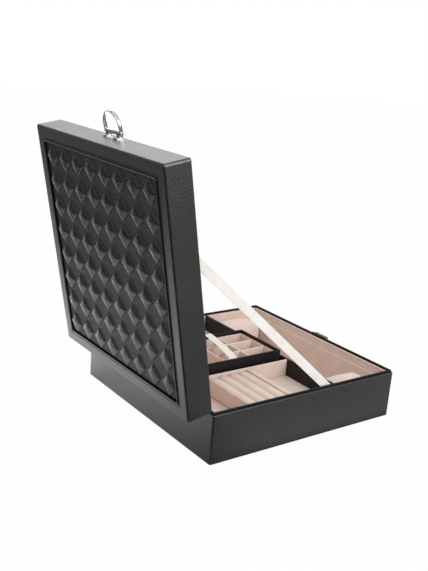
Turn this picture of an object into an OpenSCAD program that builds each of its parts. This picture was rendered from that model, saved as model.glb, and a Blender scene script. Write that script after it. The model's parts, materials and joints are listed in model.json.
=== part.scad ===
// Ring display box: a square, leather-covered jewellery box with a hinged,
// quilted lid held open by two ribbons, a hinged loop clasp, three rear bays
// with a block of ring rolls and a lift-out tray, and a deep front
// compartment with two lift-out pillows.
// Frame: origin at the centre of the underside, +X to the right seen from the
// front, -Y to the front, +Z up. Millimetres. The lid is drawn open.

/* [Box] */
// Outside width, left to right
box_w = 260; // [240:1:300]
// Outside depth, front to hinge side
box_d = 260; // [240:1:300]
// Height of the base at its rim
base_h = 58.6; // [54:0.1:70]
// Thickness of the covered wall boards
wall_t = 4; // [3.4:0.1:5]
// Radius of the upright corners
corner_r = 3; // [2.2:0.1:3.2]
// Radius of the rolled-over outer edges
edge_r = 2; // [1.8:0.1:2.4]
// Thickness of the felt underneath
felt_t = 1.2; // [0.8:0.1:2]
// Distance of the felt's edge from the sides
felt_inset = 2.5; // [2:0.5:10]
// Thickness of the bottom board
floor_t = 3; // [2:0.1:4]

/* [Lid] */
// Height of the lid's walls
lid_h = 29.1; // [27:0.1:36]
// Gap between the rims when shut
lid_gap = 0.3; // [0.2:0.1:0.6]
// Opening angle at which the ribbons stop the lid
open_deg = 100.2; // [92:0.1:108]
// Width of the flat border round the quilted panel, from the outside
border_w = 14.5; // [10:0.5:24]
// Depth of the recess that holds the quilted panel
recess_t = 4; // [3.6:0.1:5]
// Thickness of the lid's board
board_t = 2.6; // [2:0.1:4]
// Quilted diamonds along each side
quilt_n = 8; // [5:1:10]
// Thickness of the quilted panel between its diamonds
quilt_base = 3; // [2:0.1:3.6]
// Radius of the panel's rolled edge
quilt_r = 1.8; // [1:0.1:1.9]
// Gap between the panel and the piping
quilt_gap = 0.2; // [0.1:0.1:1]
// Rise of each diamond
puff_h = 2.8; // [1.5:0.1:3.4]
// Gap between neighbouring diamonds at their tips
puff_gap = 1.6; // [0.8:0.1:4]
// Radius of the piping round the recess
piping_r = 1.2; // [0.8:0.05:1.4]
// Side of the mirror in the lid
mirror_w = 170; // [120:1:190]
// Thickness of the mirror
mirror_t = 2.4; // [1.8:0.1:3]
// Thickness of the padded surround of the mirror
surround_t = 3; // [2.6:0.1:3.4]

/* [Lining] */
// Thickness of the velvet-covered lining boards
lining_t = 1.2; // [0.8:0.1:1.6]
// Drop of the lining's top edge below the rim
lining_drop = 2.6; // [1.5:0.1:5]
// Drop of the ledge below the lining's top edge
ledge_drop = 10.7; // [6:0.1:20]
// How far the ledge stands out from the lining
ledge_t = 1.8; // [1:0.1:3]
// Thickness of the pad on the front compartment's floor
pad_t = 4.8; // [3:0.1:8]

/* [Compartments] */
// Depth of the front compartment, inside the front wall
front_depth = 84; // [70:1:96]
// Thickness of the cross partition
partition_t = 2.6; // [2:0.1:4]
// Depth of the rear bays below the lining's top edge
bay_depth = 20; // [18:0.5:28]
// Thickness of the rear deck
deck_t = 2.5; // [2:0.1:4]
// Clear width of the middle bay
bay_w = 84; // [80:1:92]
// Thickness of the bay walls
bay_wall_t = 2.5; // [2:0.1:3.5]
// Number of risers under the deck
riser_n = 4; // [3:1:6]
// Thickness of the risers
riser_t = 3; // [2:0.5:5]

/* [Ring block] */
// Free length behind the ring block
rear_cell = 46.3; // [30:0.1:60]
// Length of the ring block
ring_l = 62; // [48:0.5:76]
// Height of the ring block
ring_h = 19; // [15:0.1:19.5]
// Number of ring rolls
roll_n = 4; // [3:1:6]
// Gap between rolls where the rings sit
roll_gap = 0.4; // [0.2:0.1:1]
// Edge radius of each roll
roll_r = 4; // [2:0.1:4.2]
// Thickness of the block's rear end board
ring_rear_t = 1; // [0.8:0.1:4]
// Thickness of the block's front end board
ring_front_t = 6.4; // [2:0.1:8]
// Thickness of the block's base board
ring_bed_t = 2; // [1.5:0.1:3]

/* [Tray] */
// Outside width of the tray
tray_w = 76; // [70:0.5:78]
// Gap between the tray and the rear lining
tray_rear_gap = 2.8; // [0.5:0.1:30]
// Height of the tray
tray_h = 31; // [26:0.5:34]
// Gap between the cross partition and the tray
tray_front_gap = 6.9; // [1:0.1:8]
// Thickness of the tray's walls
tray_wall_t = 2; // [1.5:0.1:3]
// Thickness of the tray's bottom
tray_base_t = 2; // [1.5:0.1:3]
// Thickness of the tray's liner boards
tray_liner_t = 2.2; // [1.2:0.1:3]
// Drop of the liner below the tray's top edge
tray_liner_drop = 3.7; // [2:0.1:6]
// Thickness of the pad on the tray's bottom
tray_pad_t = 1.6; // [1:0.1:3]
// Length of each small cell
cell_l = 33.8; // [24:0.1:40]
// Number of cells across the tray
cell_n = 3; // [2:1:4]
// Number of rows of small cells
cell_rows = 2; // [1:1:3]
// Thickness of the dividers
divider_t = 2.5; // [1.5:0.1:3]
// Distance of the lifting ribbon from the tray's front
strap_y = 68; // [40:1:110]
// Skew of the lifting ribbon across the tray
strap_skew = 13; // [0:1:20]
// Rise of the lifting ribbon above the tray's top edge
strap_rise = 4; // [2:0.5:6]
// Length of the lifting ribbon's tail outside the tray
strap_tail = 8; // [4:0.5:14]

/* [Pillows] */
// Width of each pillow, left to right
pillow_w = 37; // [30:1:56]
// Length of each pillow, front to back
pillow_l = 58.5; // [46:0.5:76]
// Height of each pillow
pillow_h = 36; // [24:1:44]
// Edge radius of each pillow
pillow_r = 8; // [5:0.5:11]

/* [Hinges] */
// Distance of each hinge from the middle
hinge_x = 72; // [40:1:100]
// Length of each hinge
hinge_l = 34; // [24:1:50]
// Radius of the hinge barrel
barrel_r = 1.8; // [1.6:0.05:1.9]
// Radius of the hinge pin
pin_r = 0.9; // [0.7:0.05:1]
// Running clearance round the hinge pin and the clasp pin
pin_clear = 0.05; // [0.03:0.01:0.1]
// Distance of the hinge axis behind the rear wall
hinge_out = 1.4; // [1.3:0.05:1.8]
// Thickness of the hinge leaves
leaf_t = 0.8; // [0.6:0.1:1]
// Height of the hinge leaves
leaf_h = 11; // [8:0.5:16]
// Gap between hinge knuckles
knuckle_gap = 0.2; // [0.1:0.05:0.4]

/* [Clasp] */
// Outside width of the loop
clasp_w = 32; // [28:1:40]
// Thickness of the bracket's feet and of the catch plate
clasp_t = 1.2; // [0.8:0.1:2]
// Side clearance between the loop and the pieces inside it
clasp_gap = 0.5; // [0.4:0.1:1]
// Width of each foot of the bracket
foot_w = 6; // [4:0.5:8]
// Height of each foot of the bracket
foot_h = 8; // [6:0.5:14]
// Height of the clasp pin above the lid's rim
clasp_pin_h = 4.1; // [3.6:0.1:9]
// Distance of the clasp pin from the lid's front
clasp_out = 5; // [4.4:0.1:7]
// Radius of the bracket's bar
clasp_bar_r = 2; // [1.6:0.1:2.4]
// Radius of the clasp pin
clasp_pin_r = 0.9; // [0.7:0.05:1.1]
// Length of the loop from its pin to its tip
loop_l = 22; // [21:0.5:30]
// Thickness of the loop's strip
strip_t = 1.5; // [1.2:0.1:2.2]
// Width of the loop's strip
strip_w = 4; // [3:0.1:4.6]
// Lean of the loop towards the lid's top
loop_lean = 6; // [0:1:30]
// Width of the catch's hook
hook_w = 20; // [12:0.5:22]
// How far the hook stands out from its plate
hook_out = 6; // [4:0.1:8]
// Height of the hook
hook_h = 13; // [9:0.5:15]
// Height of the catch plate
catch_h = 15; // [13:0.5:22]
// Drop of the catch plate's top below the rim
catch_drop = 0.4; // [0.2:0.1:4]

/* [Ribbons] */
// Width of the stay ribbons
stay_w = 10; // [6:0.1:16]
// Thickness of the ribbons
ribbon_t = 0.5; // [0.4:0.1:0.8]
// Distance of a stay ribbon's lower end from the front
stay_base_y = 102; // [90:1:150]
// Distance of a stay ribbon's upper end from the hinge side
stay_lid_s = 164; // [100:0.5:200]
// Width of the tray's lifting ribbon
strap_w = 10.5; // [6:0.5:16]

/* [Hidden] */
$fn = 64;
SEAT = 0.1;              // gap under pieces that lift out
FIT = 0.3;               // side clearance of pieces that drop in
EPS = 0.02;
hw = box_w/2;
hd = box_d/2;
in_x = hw - wall_t;      // inner faces of the walls
in_y = hd - wall_t;
lin_x = in_x - lining_t; // faces of the lining
lin_y = in_y - lining_t;
lining_z = base_h - lining_drop;
floor_z = felt_t + floor_t;
pad_z = floor_z + pad_t;
deck_z = lining_z - bay_depth;
ledge_z = lining_z - ledge_drop;
part_y0 = -in_y + front_depth;      // front face of the cross partition
part_y1 = part_y0 + partition_t;
bay_in = bay_w/2;
bay_out = bay_in + bay_wall_t;
// closed lid, above the gap
lid_z0 = base_h + lid_gap;
lid_z1 = lid_z0 + lid_h;
open_w = hw - border_w;             // half opening of the recess
open_d = hd - border_w;
quilt_w = open_w - 2*piping_r - quilt_gap;  // half sides of the panel
quilt_d = open_d - 2*piping_r - quilt_gap;
board_z1 = lid_z1 - recess_t;
board_z0 = board_z1 - board_t;
ceil_z0 = board_z0 - lining_t;
lid_lining_z = lid_z0 + lining_drop;
// hinge axis
ax_y = hd + hinge_out;
ax_z = base_h + lid_gap/2;
// clasp
cpin_y = -hd - clasp_out;
cpin_z = lid_z0 + clasp_pin_h;
loop_in = clasp_w/2 - strip_t;      // half inside width of the loop
clasp_in = loop_in - clasp_gap;     // half width of the pieces inside it
catch_z1 = base_h - catch_drop;
// ring block
ring_y1 = lin_y - rear_cell;
ring_y0 = ring_y1 - ring_l;
roll_span = ring_l - ring_rear_t - ring_front_t;
roll_pitch = roll_span/roll_n;
ring_x0 = -lin_x + FIT;
ring_x1 = -bay_out - FIT;
// tray
tray_y0 = part_y1 + tray_front_gap;
tray_y1 = lin_y - tray_rear_gap;
tray_z0 = deck_z + SEAT;
tray_z1 = tray_z0 + tray_h;
tray_hw = tray_w/2;
tray_in = tray_hw - tray_wall_t - tray_liner_t;
cell_y0 = tray_y0 + tray_wall_t + tray_liner_t;
cell_y1 = tray_y1 - tray_wall_t - tray_liner_t;
liner_z1 = tray_z1 - tray_liner_drop;
tray_floor_z = tray_z0 + tray_base_t + tray_pad_t;
cell_w = (2*tray_in - (cell_n - 1)*divider_t)/cell_n;
lap_z = (tray_floor_z + liner_z1)/2;
div_len = cell_rows*(cell_l + divider_t) - divider_t;   // long dividers

// colours
LEATHER = [0.19, 0.19, 0.2];
BOARD = [0.11, 0.11, 0.12];
VELVET = [0.85, 0.75, 0.7];
SATIN = [0.95, 0.93, 0.9];
CHROME = [0.75, 0.75, 0.77];
FELT = [0.08, 0.08, 0.08];
GLASS = [0.8, 0.85, 0.88];

// ---- helpers ----

// block between two corners
module block(a, b) {
    translate(a) cube([b[0] - a[0], b[1] - a[1], b[2] - a[2]]);
}

// rectangle with round corners, centred
module round_rect(w, d, r) {
    square([w - 2*r, d], center = true);
    square([w, d - 2*r], center = true);
    for (x = [-1, 1], y = [-1, 1])
        translate([x*(w/2 - r), y*(d/2 - r)]) circle(r);
}

// quarter-round waste for an outer edge whose corner is at the origin and
// whose material lies towards +x, +y
module edge_waste(r) {
    difference() {
        translate([-1, -1]) square(r + 1);
        translate([r, r]) circle(r);
    }
}

// section of a wall: x = 0 is the outer face, y runs from z0 to z1
module wall_section(z0, z1, r0, r1) {
    difference() {
        translate([0, z0]) square([wall_t, z1 - z0]);
        translate([0, z0]) edge_waste(r0);
        translate([0, z1]) mirror([0, 1]) edge_waste(r1);
    }
}

// a front or rear wall over the full width; side = -1 front, 1 rear
module end_wall(side, z0, z1, r0, r1) {
    intersection() {
        mirror([0, side < 0 ? 0 : 1, 0])
            translate([-hw, -hd, 0]) rotate([90, 0, 90])
                linear_extrude(box_w) wall_section(z0, z1, r0, r1);
        translate([0, 0, z0 - 1]) linear_extrude(z1 - z0 + 2)
            round_rect(box_w, box_d, corner_r);
    }
}

// a side wall between the front and rear walls; side = -1 left, 1 right
module side_wall(side, z0, z1, r0, r1) {
    mirror([side < 0 ? 0 : 1, 0, 0])
        translate([-hw, in_y, 0]) rotate([90, 0, 0])
            linear_extrude(2*in_y) wall_section(z0, z1, r0, r1);
}

// swings what is drawn on the shut lid to the open lid
module on_lid() {
    translate([0, ax_y, ax_z]) rotate([-open_deg, 0, 0])
        translate([0, -ax_y, -ax_z]) children();
}

// ---- base ----

module base_felt() {
    color(FELT) linear_extrude(felt_t)
        round_rect(box_w - 2*felt_inset, box_d - 2*felt_inset, corner_r);
}

module base_floor() {
    color(BOARD) block([-in_x, -in_y, felt_t], [in_x, in_y, floor_z]);
}

module base_front() {
    color(LEATHER) end_wall(-1, felt_t, base_h, edge_r/2, edge_r);
}

module base_rear() {
    color(LEATHER) end_wall(1, felt_t, base_h, edge_r/2, edge_r);
}

module base_left() {
    color(LEATHER) side_wall(-1, felt_t, base_h, edge_r/2, edge_r);
}

module base_right() {
    color(LEATHER) side_wall(1, felt_t, base_h, edge_r/2, edge_r);
}

// lining board with a ledge; x = 0 is the wall, y is height
module ledge_section(z0) {
    translate([0, z0]) square([lining_t, lining_z - z0]);
    translate([0, z0]) square([lining_t + ledge_t, ledge_z - z0]);
}

module lining_front() {
    color(VELVET) translate([-in_x, -in_y, 0]) rotate([90, 0, 90])
        linear_extrude(2*in_x) ledge_section(floor_z);
}

module lining_rear() {
    color(VELVET)
        block([-in_x, lin_y, deck_z], [in_x, in_y, lining_z]);
}

// left lining: a ledge beside the front compartment, plain behind it
module side_lining() {
    translate([-in_x, part_y0, 0]) rotate([90, 0, 0])
        linear_extrude(part_y0 + lin_y - ledge_t) ledge_section(floor_z);
    block([-in_x, -lin_y, ledge_z], [-lin_x, part_y0, lining_z]);
    block([-in_x, part_y1, deck_z], [-lin_x, lin_y, lining_z]);
}

module lining_left() {
    color(VELVET) side_lining();
}

module lining_right() {
    color(VELVET) mirror([1, 0, 0]) side_lining();
}

module front_pad() {
    color(VELVET) block(
        [-lin_x + ledge_t, -lin_y + ledge_t, floor_z],
        [lin_x - ledge_t, part_y0 - lining_t, pad_z]);
}

module partition() {
    color(BOARD) block([-in_x, part_y0, floor_z], [in_x, part_y1, lining_z]);
}

module partition_lining() {
    color(VELVET) block(
        [-lin_x + ledge_t, part_y0 - lining_t, floor_z],
        [lin_x - ledge_t, part_y0, ledge_z]);
}

module deck_risers() {
    color(BOARD) for (i = [0 : riser_n - 1])
        translate([-in_x + riser_t + i*(2*in_x - 3*riser_t)/(riser_n - 1),
                   part_y1, floor_z])
            cube([riser_t, in_y - part_y1, deck_z - deck_t - floor_z]);
}

module deck() {
    color(VELVET)
        block([-in_x, part_y1, deck_z - deck_t], [in_x, in_y, deck_z]);
}

module bay_wall_left() {
    color(VELVET)
        block([-bay_out, part_y1, deck_z], [-bay_in, lin_y, lining_z]);
}

module bay_wall_right() {
    color(VELVET) mirror([1, 0, 0])
        block([-bay_out, part_y1, deck_z], [-bay_in, lin_y, lining_z]);
}

// ---- ring block ----

module ring_bed() {
    color(VELVET) {
        block([ring_x0, ring_y0, deck_z],
              [ring_x1, ring_y1, deck_z + ring_bed_t]);
        block([ring_x0, ring_y1 - ring_rear_t, deck_z],
              [ring_x1, ring_y1, deck_z + ring_h]);
        block([ring_x0, ring_y0, deck_z],
              [ring_x1, ring_y0 + ring_front_t, deck_z + ring_h]);
    }
}

// one roll's section, standing on y = 0
module roll_section(w, h, r0) {
    r = min(r0, w/2 - 0.1);         // the ends never meet
    square([w, h - r]);
    translate([r, 0]) square([w - 2*r, h]);
    for (x = [r, w - r]) translate([x, h - r]) circle(r);
}

module ring_rolls() {
    color(VELVET) for (i = [0 : roll_n - 1])
        translate([ring_x0,
                   ring_y0 + ring_front_t + i*roll_pitch + roll_gap/2,
                   deck_z + ring_bed_t])
            rotate([90, 0, 90]) linear_extrude(ring_x1 - ring_x0)
                roll_section(roll_pitch - roll_gap, ring_h - ring_bed_t,
                             roll_r);
}

// ---- hinges ----

knuckle_l = (hinge_l - 2*knuckle_gap)/3;

// barrel piece from x0, with its bore left for the caller to cut
module barrel(x0, len, r) {
    translate([x0, 0, 0]) rotate([0, 90, 0]) cylinder(h = len, r = r);
}

// one leaf about the hinge axis, hanging down; ends = knuckle start points
module leaf(ends) {
    difference() {
        union() {
            translate([-hinge_l/2, -hinge_out, -leaf_h - barrel_r - 0.3])
                cube([hinge_l, leaf_t, leaf_h]);
            for (x = ends) {
                translate([x, -hinge_out, -barrel_r - 0.4])
                    cube([knuckle_l, leaf_t, barrel_r + 0.4]);
                barrel(x, knuckle_l, barrel_r);
            }
        }
        barrel(-hinge_l, 2*hinge_l, pin_r + pin_clear);
    }
}

module hinge_leaf_base() {
    color(CHROME) for (s = [-1, 1])
        translate([s*hinge_x, ax_y, ax_z])
            leaf([-hinge_l/2, hinge_l/2 - knuckle_l]);
}

module hinge_leaf_lid() {
    color(CHROME) on_lid() for (s = [-1, 1])
        translate([s*hinge_x, ax_y, ax_z]) mirror([0, 0, 1])
            leaf([-knuckle_l/2]);
}

module hinge_pins() {
    color(CHROME) for (s = [-1, 1])
        translate([s*hinge_x, ax_y, ax_z]) barrel(-hinge_l/2, hinge_l, pin_r);
}

// ---- lid ----

module lid_board() {
    color(BOARD) on_lid()
        block([-in_x, -in_y, board_z0], [in_x, in_y, board_z1]);
}

module lid_front() {
    color(LEATHER) on_lid() end_wall(-1, lid_z0, lid_z1, edge_r, edge_r);
}

module lid_rear() {
    color(LEATHER) on_lid() end_wall(1, lid_z0, lid_z1, edge_r, edge_r);
}

module lid_left() {
    color(LEATHER) on_lid() side_wall(-1, lid_z0, lid_z1, edge_r, edge_r);
}

module lid_right() {
    color(LEATHER) on_lid() side_wall(1, lid_z0, lid_z1, edge_r, edge_r);
}

module lid_border() {
    color(LEATHER) on_lid() difference() {
        block([-in_x, -in_y, board_z1], [in_x, in_y, lid_z1]);
        block([-open_w, -open_d, board_z1 - 1], [open_w, open_d, lid_z1 + 1]);
    }
}

// one padded diamond: a stack of shrinking diamonds [share of size, share of
// rise] on a parabola, on a foot sunk halfway into the panel
PUFF = [[1, 0], [0.85, 0.28], [0.65, 0.58], [0.4, 0.84], [0.15, 0.98]];

module puff(a, b, h) {
    rings = concat([[1, -quilt_base/2]], [for (p = PUFF) [p[0], h*p[1]]]);
    n = len(rings);
    corners = [[-a, 0], [0, -b], [a, 0], [0, b]];
    pts = [for (p = rings, c = corners) [c[0]*p[0], c[1]*p[0], p[1]]];
    sides = [for (k = [0 : n - 2], i = [0 : 3])
        [4*k + i, 4*(k + 1) + i, 4*(k + 1) + (i + 1) % 4,
         4*k + (i + 1) % 4]];
    polyhedron(pts, concat([[0, 1, 2, 3]], sides,
        [[4*n - 1, 4*n - 2, 4*n - 3, 4*n - 4]]));
}

// the panel between its diamonds, rolled down along its four edges
module quilt_panel() {
    intersection() {
        translate([-quilt_w, -quilt_d, 0]) rotate([90, 0, 90])
            linear_extrude(2*quilt_w)
                roll_section(2*quilt_d, quilt_base, quilt_r);
        translate([-quilt_w, quilt_d, 0]) rotate([90, 0, 0])
            linear_extrude(2*quilt_d)
                roll_section(2*quilt_w, quilt_base, quilt_r);
    }
}

module lid_quilt() {
    // the outer diamonds' tips reach the panel's edges
    px = 2*(quilt_w - EPS + puff_gap/2)/quilt_n;
    py = 2*(quilt_d - EPS + puff_gap/2)/quilt_n;
    color(LEATHER) on_lid() translate([0, 0, board_z1]) {
        quilt_panel();
        for (i = [0 : quilt_n - 1], j = [0 : quilt_n - 1])
            translate([(i - (quilt_n - 1)/2)*px, (j - (quilt_n - 1)/2)*py,
                       quilt_base])
                puff((px - puff_gap)/2, (py - puff_gap)/2, puff_h);
    }
}

module lid_piping() {
    r = piping_r;
    x = open_w - r - EPS;
    y = open_d - r - EPS;
    c = 2*r;                        // bend radius at the corners
    color(LEATHER) on_lid() translate([0, 0, lid_z1 + r/3]) {
        for (s = [-1, 1]) {
            translate([s*x, y - c, 0]) rotate([90, 0, 0])
                cylinder(h = 2*(y - c), r = r);
            translate([-x + c, s*y, 0]) rotate([0, 90, 0])
                cylinder(h = 2*(x - c), r = r);
        }
        for (k = [0 : 3]) {
            sx = k == 0 || k == 3 ? 1 : -1;
            sy = k < 2 ? 1 : -1;
            translate([sx*(x - c), sy*(y - c), 0]) rotate([0, 0, 90*k])
                rotate_extrude(angle = 90) translate([c, 0]) circle(r);
        }
    }
}

module lid_ceiling() {
    color(VELVET) on_lid()
        block([-in_x, -in_y, ceil_z0], [in_x, in_y, board_z0]);
}

module lid_lining_front() {
    color(VELVET) on_lid()
        block([-in_x, -in_y, lid_lining_z], [in_x, -lin_y, ceil_z0]);
}

module lid_lining_rear() {
    color(VELVET) on_lid()
        block([-in_x, lin_y, lid_lining_z], [in_x, in_y, ceil_z0]);
}

module lid_lining_left() {
    color(VELVET) on_lid()
        block([-in_x, -lin_y, lid_lining_z], [-lin_x, lin_y, ceil_z0]);
}

module lid_lining_right() {
    color(VELVET) on_lid()
        block([lin_x, -lin_y, lid_lining_z], [in_x, lin_y, ceil_z0]);
}

module mirror_glass() {
    block([-mirror_w/2, -mirror_w/2, ceil_z0 - mirror_t],
          [mirror_w/2, mirror_w/2, ceil_z0]);
}

// the glass pane
module mirror_pane() {
    color(GLASS) on_lid() mirror_glass();
}

module mirror_surround() {
    m = mirror_w/2 + 0.1;
    color(VELVET) on_lid() difference() {
        block([-lin_x, -lin_y, ceil_z0 - surround_t],
              [lin_x, lin_y, ceil_z0]);
        block([-m, -m, ceil_z0 - surround_t - 1], [m, m, ceil_z0 + 1]);
    }
}

// ---- clasp ----

// bracket: two feet on the lid's front, joined by a bar that holds the pin
module clasp_bracket() {
    z0 = cpin_z - clasp_bar_r;
    color(CHROME) on_lid() difference() {
        union() {
            for (s = [-1, 1]) {
                x = s*(clasp_in - foot_w/2);
                translate([x, -hd, z0 + foot_h/2]) rotate([90, 0, 0])
                    linear_extrude(clasp_t) round_rect(foot_w, foot_h, 1.5);
                translate([x - foot_w/2, cpin_y, z0])
                    cube([foot_w, clasp_out - clasp_t/2, 2*clasp_bar_r]);
            }
            translate([-clasp_in, cpin_y, cpin_z]) rotate([0, 90, 0])
                cylinder(h = 2*clasp_in, r = clasp_bar_r);
        }
        translate([-clasp_w, cpin_y, cpin_z]) rotate([0, 90, 0])
            cylinder(h = 2*clasp_w, r = clasp_pin_r + pin_clear);
    }
}

module clasp_pin() {
    color(CHROME) on_lid() translate([-clasp_w/2, cpin_y, cpin_z])
        rotate([0, 90, 0]) cylinder(h = clasp_w, r = clasp_pin_r);
}

// arch of the loop, pin line along y = 0, tip at y = loop_l
module loop_outline() {
    w = clasp_w/2;
    difference() {
        union() {
            translate([-w, 0]) square([2*w, loop_l - w]);
            translate([0, loop_l - w]) circle(w);
        }
        translate([-loop_in, -w]) square([2*loop_in, loop_l]);
        translate([0, loop_l - w]) circle(loop_in);
        translate([-w - 1, -w]) square([2*w + 2, w]);
    }
}

// a strip bent to an arch, with an eye at each end
module clasp_loop() {
    color(CHROME) on_lid()
        translate([0, cpin_y, cpin_z]) rotate([-loop_lean, 0, 0])
            difference() {
                union() {
                    translate([0, 0, -strip_w/2]) mirror([0, 1, 0])
                        linear_extrude(strip_w) loop_outline();
                    for (s = [-1, 1])
                        translate([s > 0 ? loop_in : -clasp_w/2, 0, 0])
                            rotate([0, 90, 0])
                                cylinder(h = strip_t, r = strip_w/2);
                }
                translate([-clasp_w, 0, 0]) rotate([0, 90, 0])
                    cylinder(h = 2*clasp_w, r = clasp_pin_r + pin_clear);
            }
}

module catch_plate() {
    color(CHROME) translate([0, -hd, catch_z1 - catch_h/2])
        rotate([90, 0, 0]) linear_extrude(clasp_t)
            round_rect(2*clasp_in, catch_h, 2);
}

// hook whose underside follows the path of the loop's arch, at the point
// where the arch passes the hook's corners
module catch_hook() {
    reach = loop_l - clasp_w/2
        + sqrt(pow(loop_in, 2) - pow(hook_w/2, 2)) - FIT;
    r = 2;
    color(CHROME) translate([-hook_w/2, 0, 0]) rotate([90, 0, 90])
        linear_extrude(hook_w) intersection() {
            translate([-hd - clasp_t - hook_out, catch_z1 - 0.5 - hook_h]) {
                translate([0, r]) square([hook_out, hook_h - 2*r]);
                translate([r, 0]) square([hook_out - r, hook_h]);
                for (z = [r, hook_h - r]) translate([r, z]) circle(r);
            }
            translate([cpin_y, cpin_z]) circle(reach, $fn = 180);
        }
}

// ---- ribbons ----

// left ribbon, flat beside the wall, from the base's lining to the lid's
module stay_ribbon() {
    x = in_x - lining_t/2;
    a = open_deg;
    // directions on the open lid: up its side, and into it
    su = [-cos(a), sin(a)];
    hu = [sin(a), cos(a)];
    c0 = [-hd + stay_base_y, lining_z + EPS];
    s1 = stay_lid_s + hinge_out;
    h1 = lid_lining_z - ax_z - EPS;
    c1 = [ax_y, ax_z] + s1*su + h1*hu;
    d = (c1 - c0)/norm(c1 - c0);
    // half widths of the slanting cuts at the two ends
    e0 = stay_w/2/d[1];
    e1 = stay_w/2/abs(d[0]*su[1] - d[1]*su[0]);
    translate([-x - ribbon_t/2, 0, 0]) rotate([90, 0, 90])
        linear_extrude(ribbon_t)
            polygon([c0 - [e0, 0], c0 + [e0, 0],
                     c1 - e1*su, c1 + e1*su]);
}

module stay_ribbon_left() {
    color(SATIN) stay_ribbon();
}

module stay_ribbon_right() {
    color(SATIN) mirror([1, 0, 0]) stay_ribbon();
}

// ---- tray ----

module tray_base() {
    color(BOARD) block([-tray_hw, tray_y0, tray_z0],
                       [tray_hw, tray_y1, tray_z0 + tray_base_t]);
}

module tray_end(y) {
    color(BOARD) block([-tray_hw, y, tray_z0 + tray_base_t],
                       [tray_hw, y + tray_wall_t, tray_z1]);
}

module tray_front() { tray_end(tray_y0); }

module tray_rear() { tray_end(tray_y1 - tray_wall_t); }

module tray_side() {
    color(BOARD) block(
        [-tray_hw, tray_y0 + tray_wall_t, tray_z0 + tray_base_t],
        [-tray_hw + tray_wall_t, tray_y1 - tray_wall_t, tray_z1]);
}

module tray_left() { tray_side(); }

module tray_right() { mirror([1, 0, 0]) tray_side(); }

module tray_pad() {
    w = tray_hw - tray_wall_t;
    color(VELVET) block(
        [-w, tray_y0 + tray_wall_t, tray_z0 + tray_base_t],
        [w, tray_y1 - tray_wall_t, tray_floor_z]);
}

// four liner boards standing on the pad
module tray_liner() {
    w = tray_hw - tray_wall_t;
    color(VELVET) {
        for (s = [0, 1]) mirror([s, 0, 0])
            block([-w, tray_y0 + tray_wall_t, tray_floor_z],
                  [-tray_in, tray_y1 - tray_wall_t, liner_z1]);
        for (y = [tray_y0 + tray_wall_t, cell_y1])
            block([-tray_in + 0.05, y, tray_floor_z],
                  [tray_in - 0.05, y + tray_liner_t, liner_z1]);
    }
}

// boards along the tray, slotted from above where the cross boards pass
module tray_long_dividers() {
    color(VELVET) difference() {
        for (i = [1 : cell_n - 1])
            translate([-tray_in + i*(cell_w + divider_t) - divider_t,
                       cell_y0, tray_floor_z])
                cube([divider_t, div_len, liner_z1 - tray_floor_z]);
        if (cell_rows > 1) for (j = [1 : cell_rows - 1])
            translate([-tray_in,
                       cell_y0 + j*(cell_l + divider_t) - divider_t - 0.05,
                       lap_z])
                cube([2*tray_in, divider_t + 0.1, tray_h]);
    }
}

// boards across the tray, slotted from below where the long boards pass
module tray_cross_dividers() {
    color(VELVET) difference() {
        for (j = [1 : cell_rows])
            translate([-tray_in,
                       cell_y0 + j*(cell_l + divider_t) - divider_t,
                       tray_floor_z])
                cube([2*tray_in, divider_t, liner_z1 - tray_floor_z]);
        if (cell_rows > 1) for (i = [1 : cell_n - 1])
            translate([-tray_in + i*(cell_w + divider_t) - divider_t - 0.05,
                       cell_y0, 0])
                cube([divider_t + 0.1, div_len, lap_z + 0.05]);
    }
}

// route of the lifting ribbon across the tray: up inside the left wall,
// over the cells, and down outside the right wall
function strap_route() =
    let (z = tray_z1, r = strap_rise,
         xl = -tray_hw + tray_wall_t + FIT + ribbon_t/2,
         xr = tray_hw + FIT + ribbon_t/2,
         w = xr - xl)
    [[xl, z - tray_liner_drop + FIT], [xl + ribbon_t/2, z - 0.25*r],
     [xl + 0.033*w, z + 0.15*r], [xl + 0.19*w, z + 0.5*r],
     [xl + 0.4*w, z + 0.85*r], [xl + 0.65*w, z + r],
     [xr - 0.13*w, z + 0.95*r], [xr - 0.05*w, z + 0.75*r],
     [xr - 0.8*ribbon_t, z + 0.225*r], [xr, z - 0.375*r],
     [xr, z - strap_tail]];

module tray_ribbon() {
    p = strap_route();
    n = len(p);
    t = ribbon_t/2;
    y0 = tray_y0 + strap_y;
    // unit normals of the route, averaged at the bends
    d = [for (i = [0 : n - 2]) (p[i+1] - p[i])/norm(p[i+1] - p[i])];
    m = [for (i = [0 : n - 1])
        let (v = d[max(i - 1, 0)] + d[min(i, n - 2)]) v/norm(v)];
    pts = [for (i = [0 : n - 1])
        let (q = [-m[i][1], m[i][0]]*t,
             y = y0 - strap_skew*(p[i][0] + tray_hw)/tray_w)
        for (k = [[1, -1], [1, 1], [-1, 1], [-1, -1]])
            [p[i][0] + k[0]*q[0], y + k[1]*strap_w/2, p[i][1] + k[0]*q[1]]];
    sides = [for (i = [0 : n - 2], k = [0 : 3])
        [4*i + k, 4*i + (k + 1) % 4, 4*(i + 1) + (k + 1) % 4,
         4*(i + 1) + k]];
    color(SATIN) polyhedron(pts, concat([[3, 2, 1, 0]], sides,
        [[4*n - 4, 4*n - 3, 4*n - 2, 4*n - 1]]));
}

// ---- pillows ----

module pillow() {
    x0 = lin_x - ledge_t - FIT;
    y1 = part_y0 - lining_t - FIT;
    r = pillow_r;
    hull() for (x = [-x0 + r, -x0 + pillow_w - r], y = [y1 - r, y1 - pillow_l + r],
                z = [pad_z + SEAT + r, pad_z + SEAT + pillow_h - r])
        translate([x, y, z]) sphere(r, $fn = 24);
}

module pillow_left() { color(VELVET) pillow(); }

module pillow_right() { color(VELVET) mirror([1, 0, 0]) pillow(); }

// ---- the pieces ----

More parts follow.
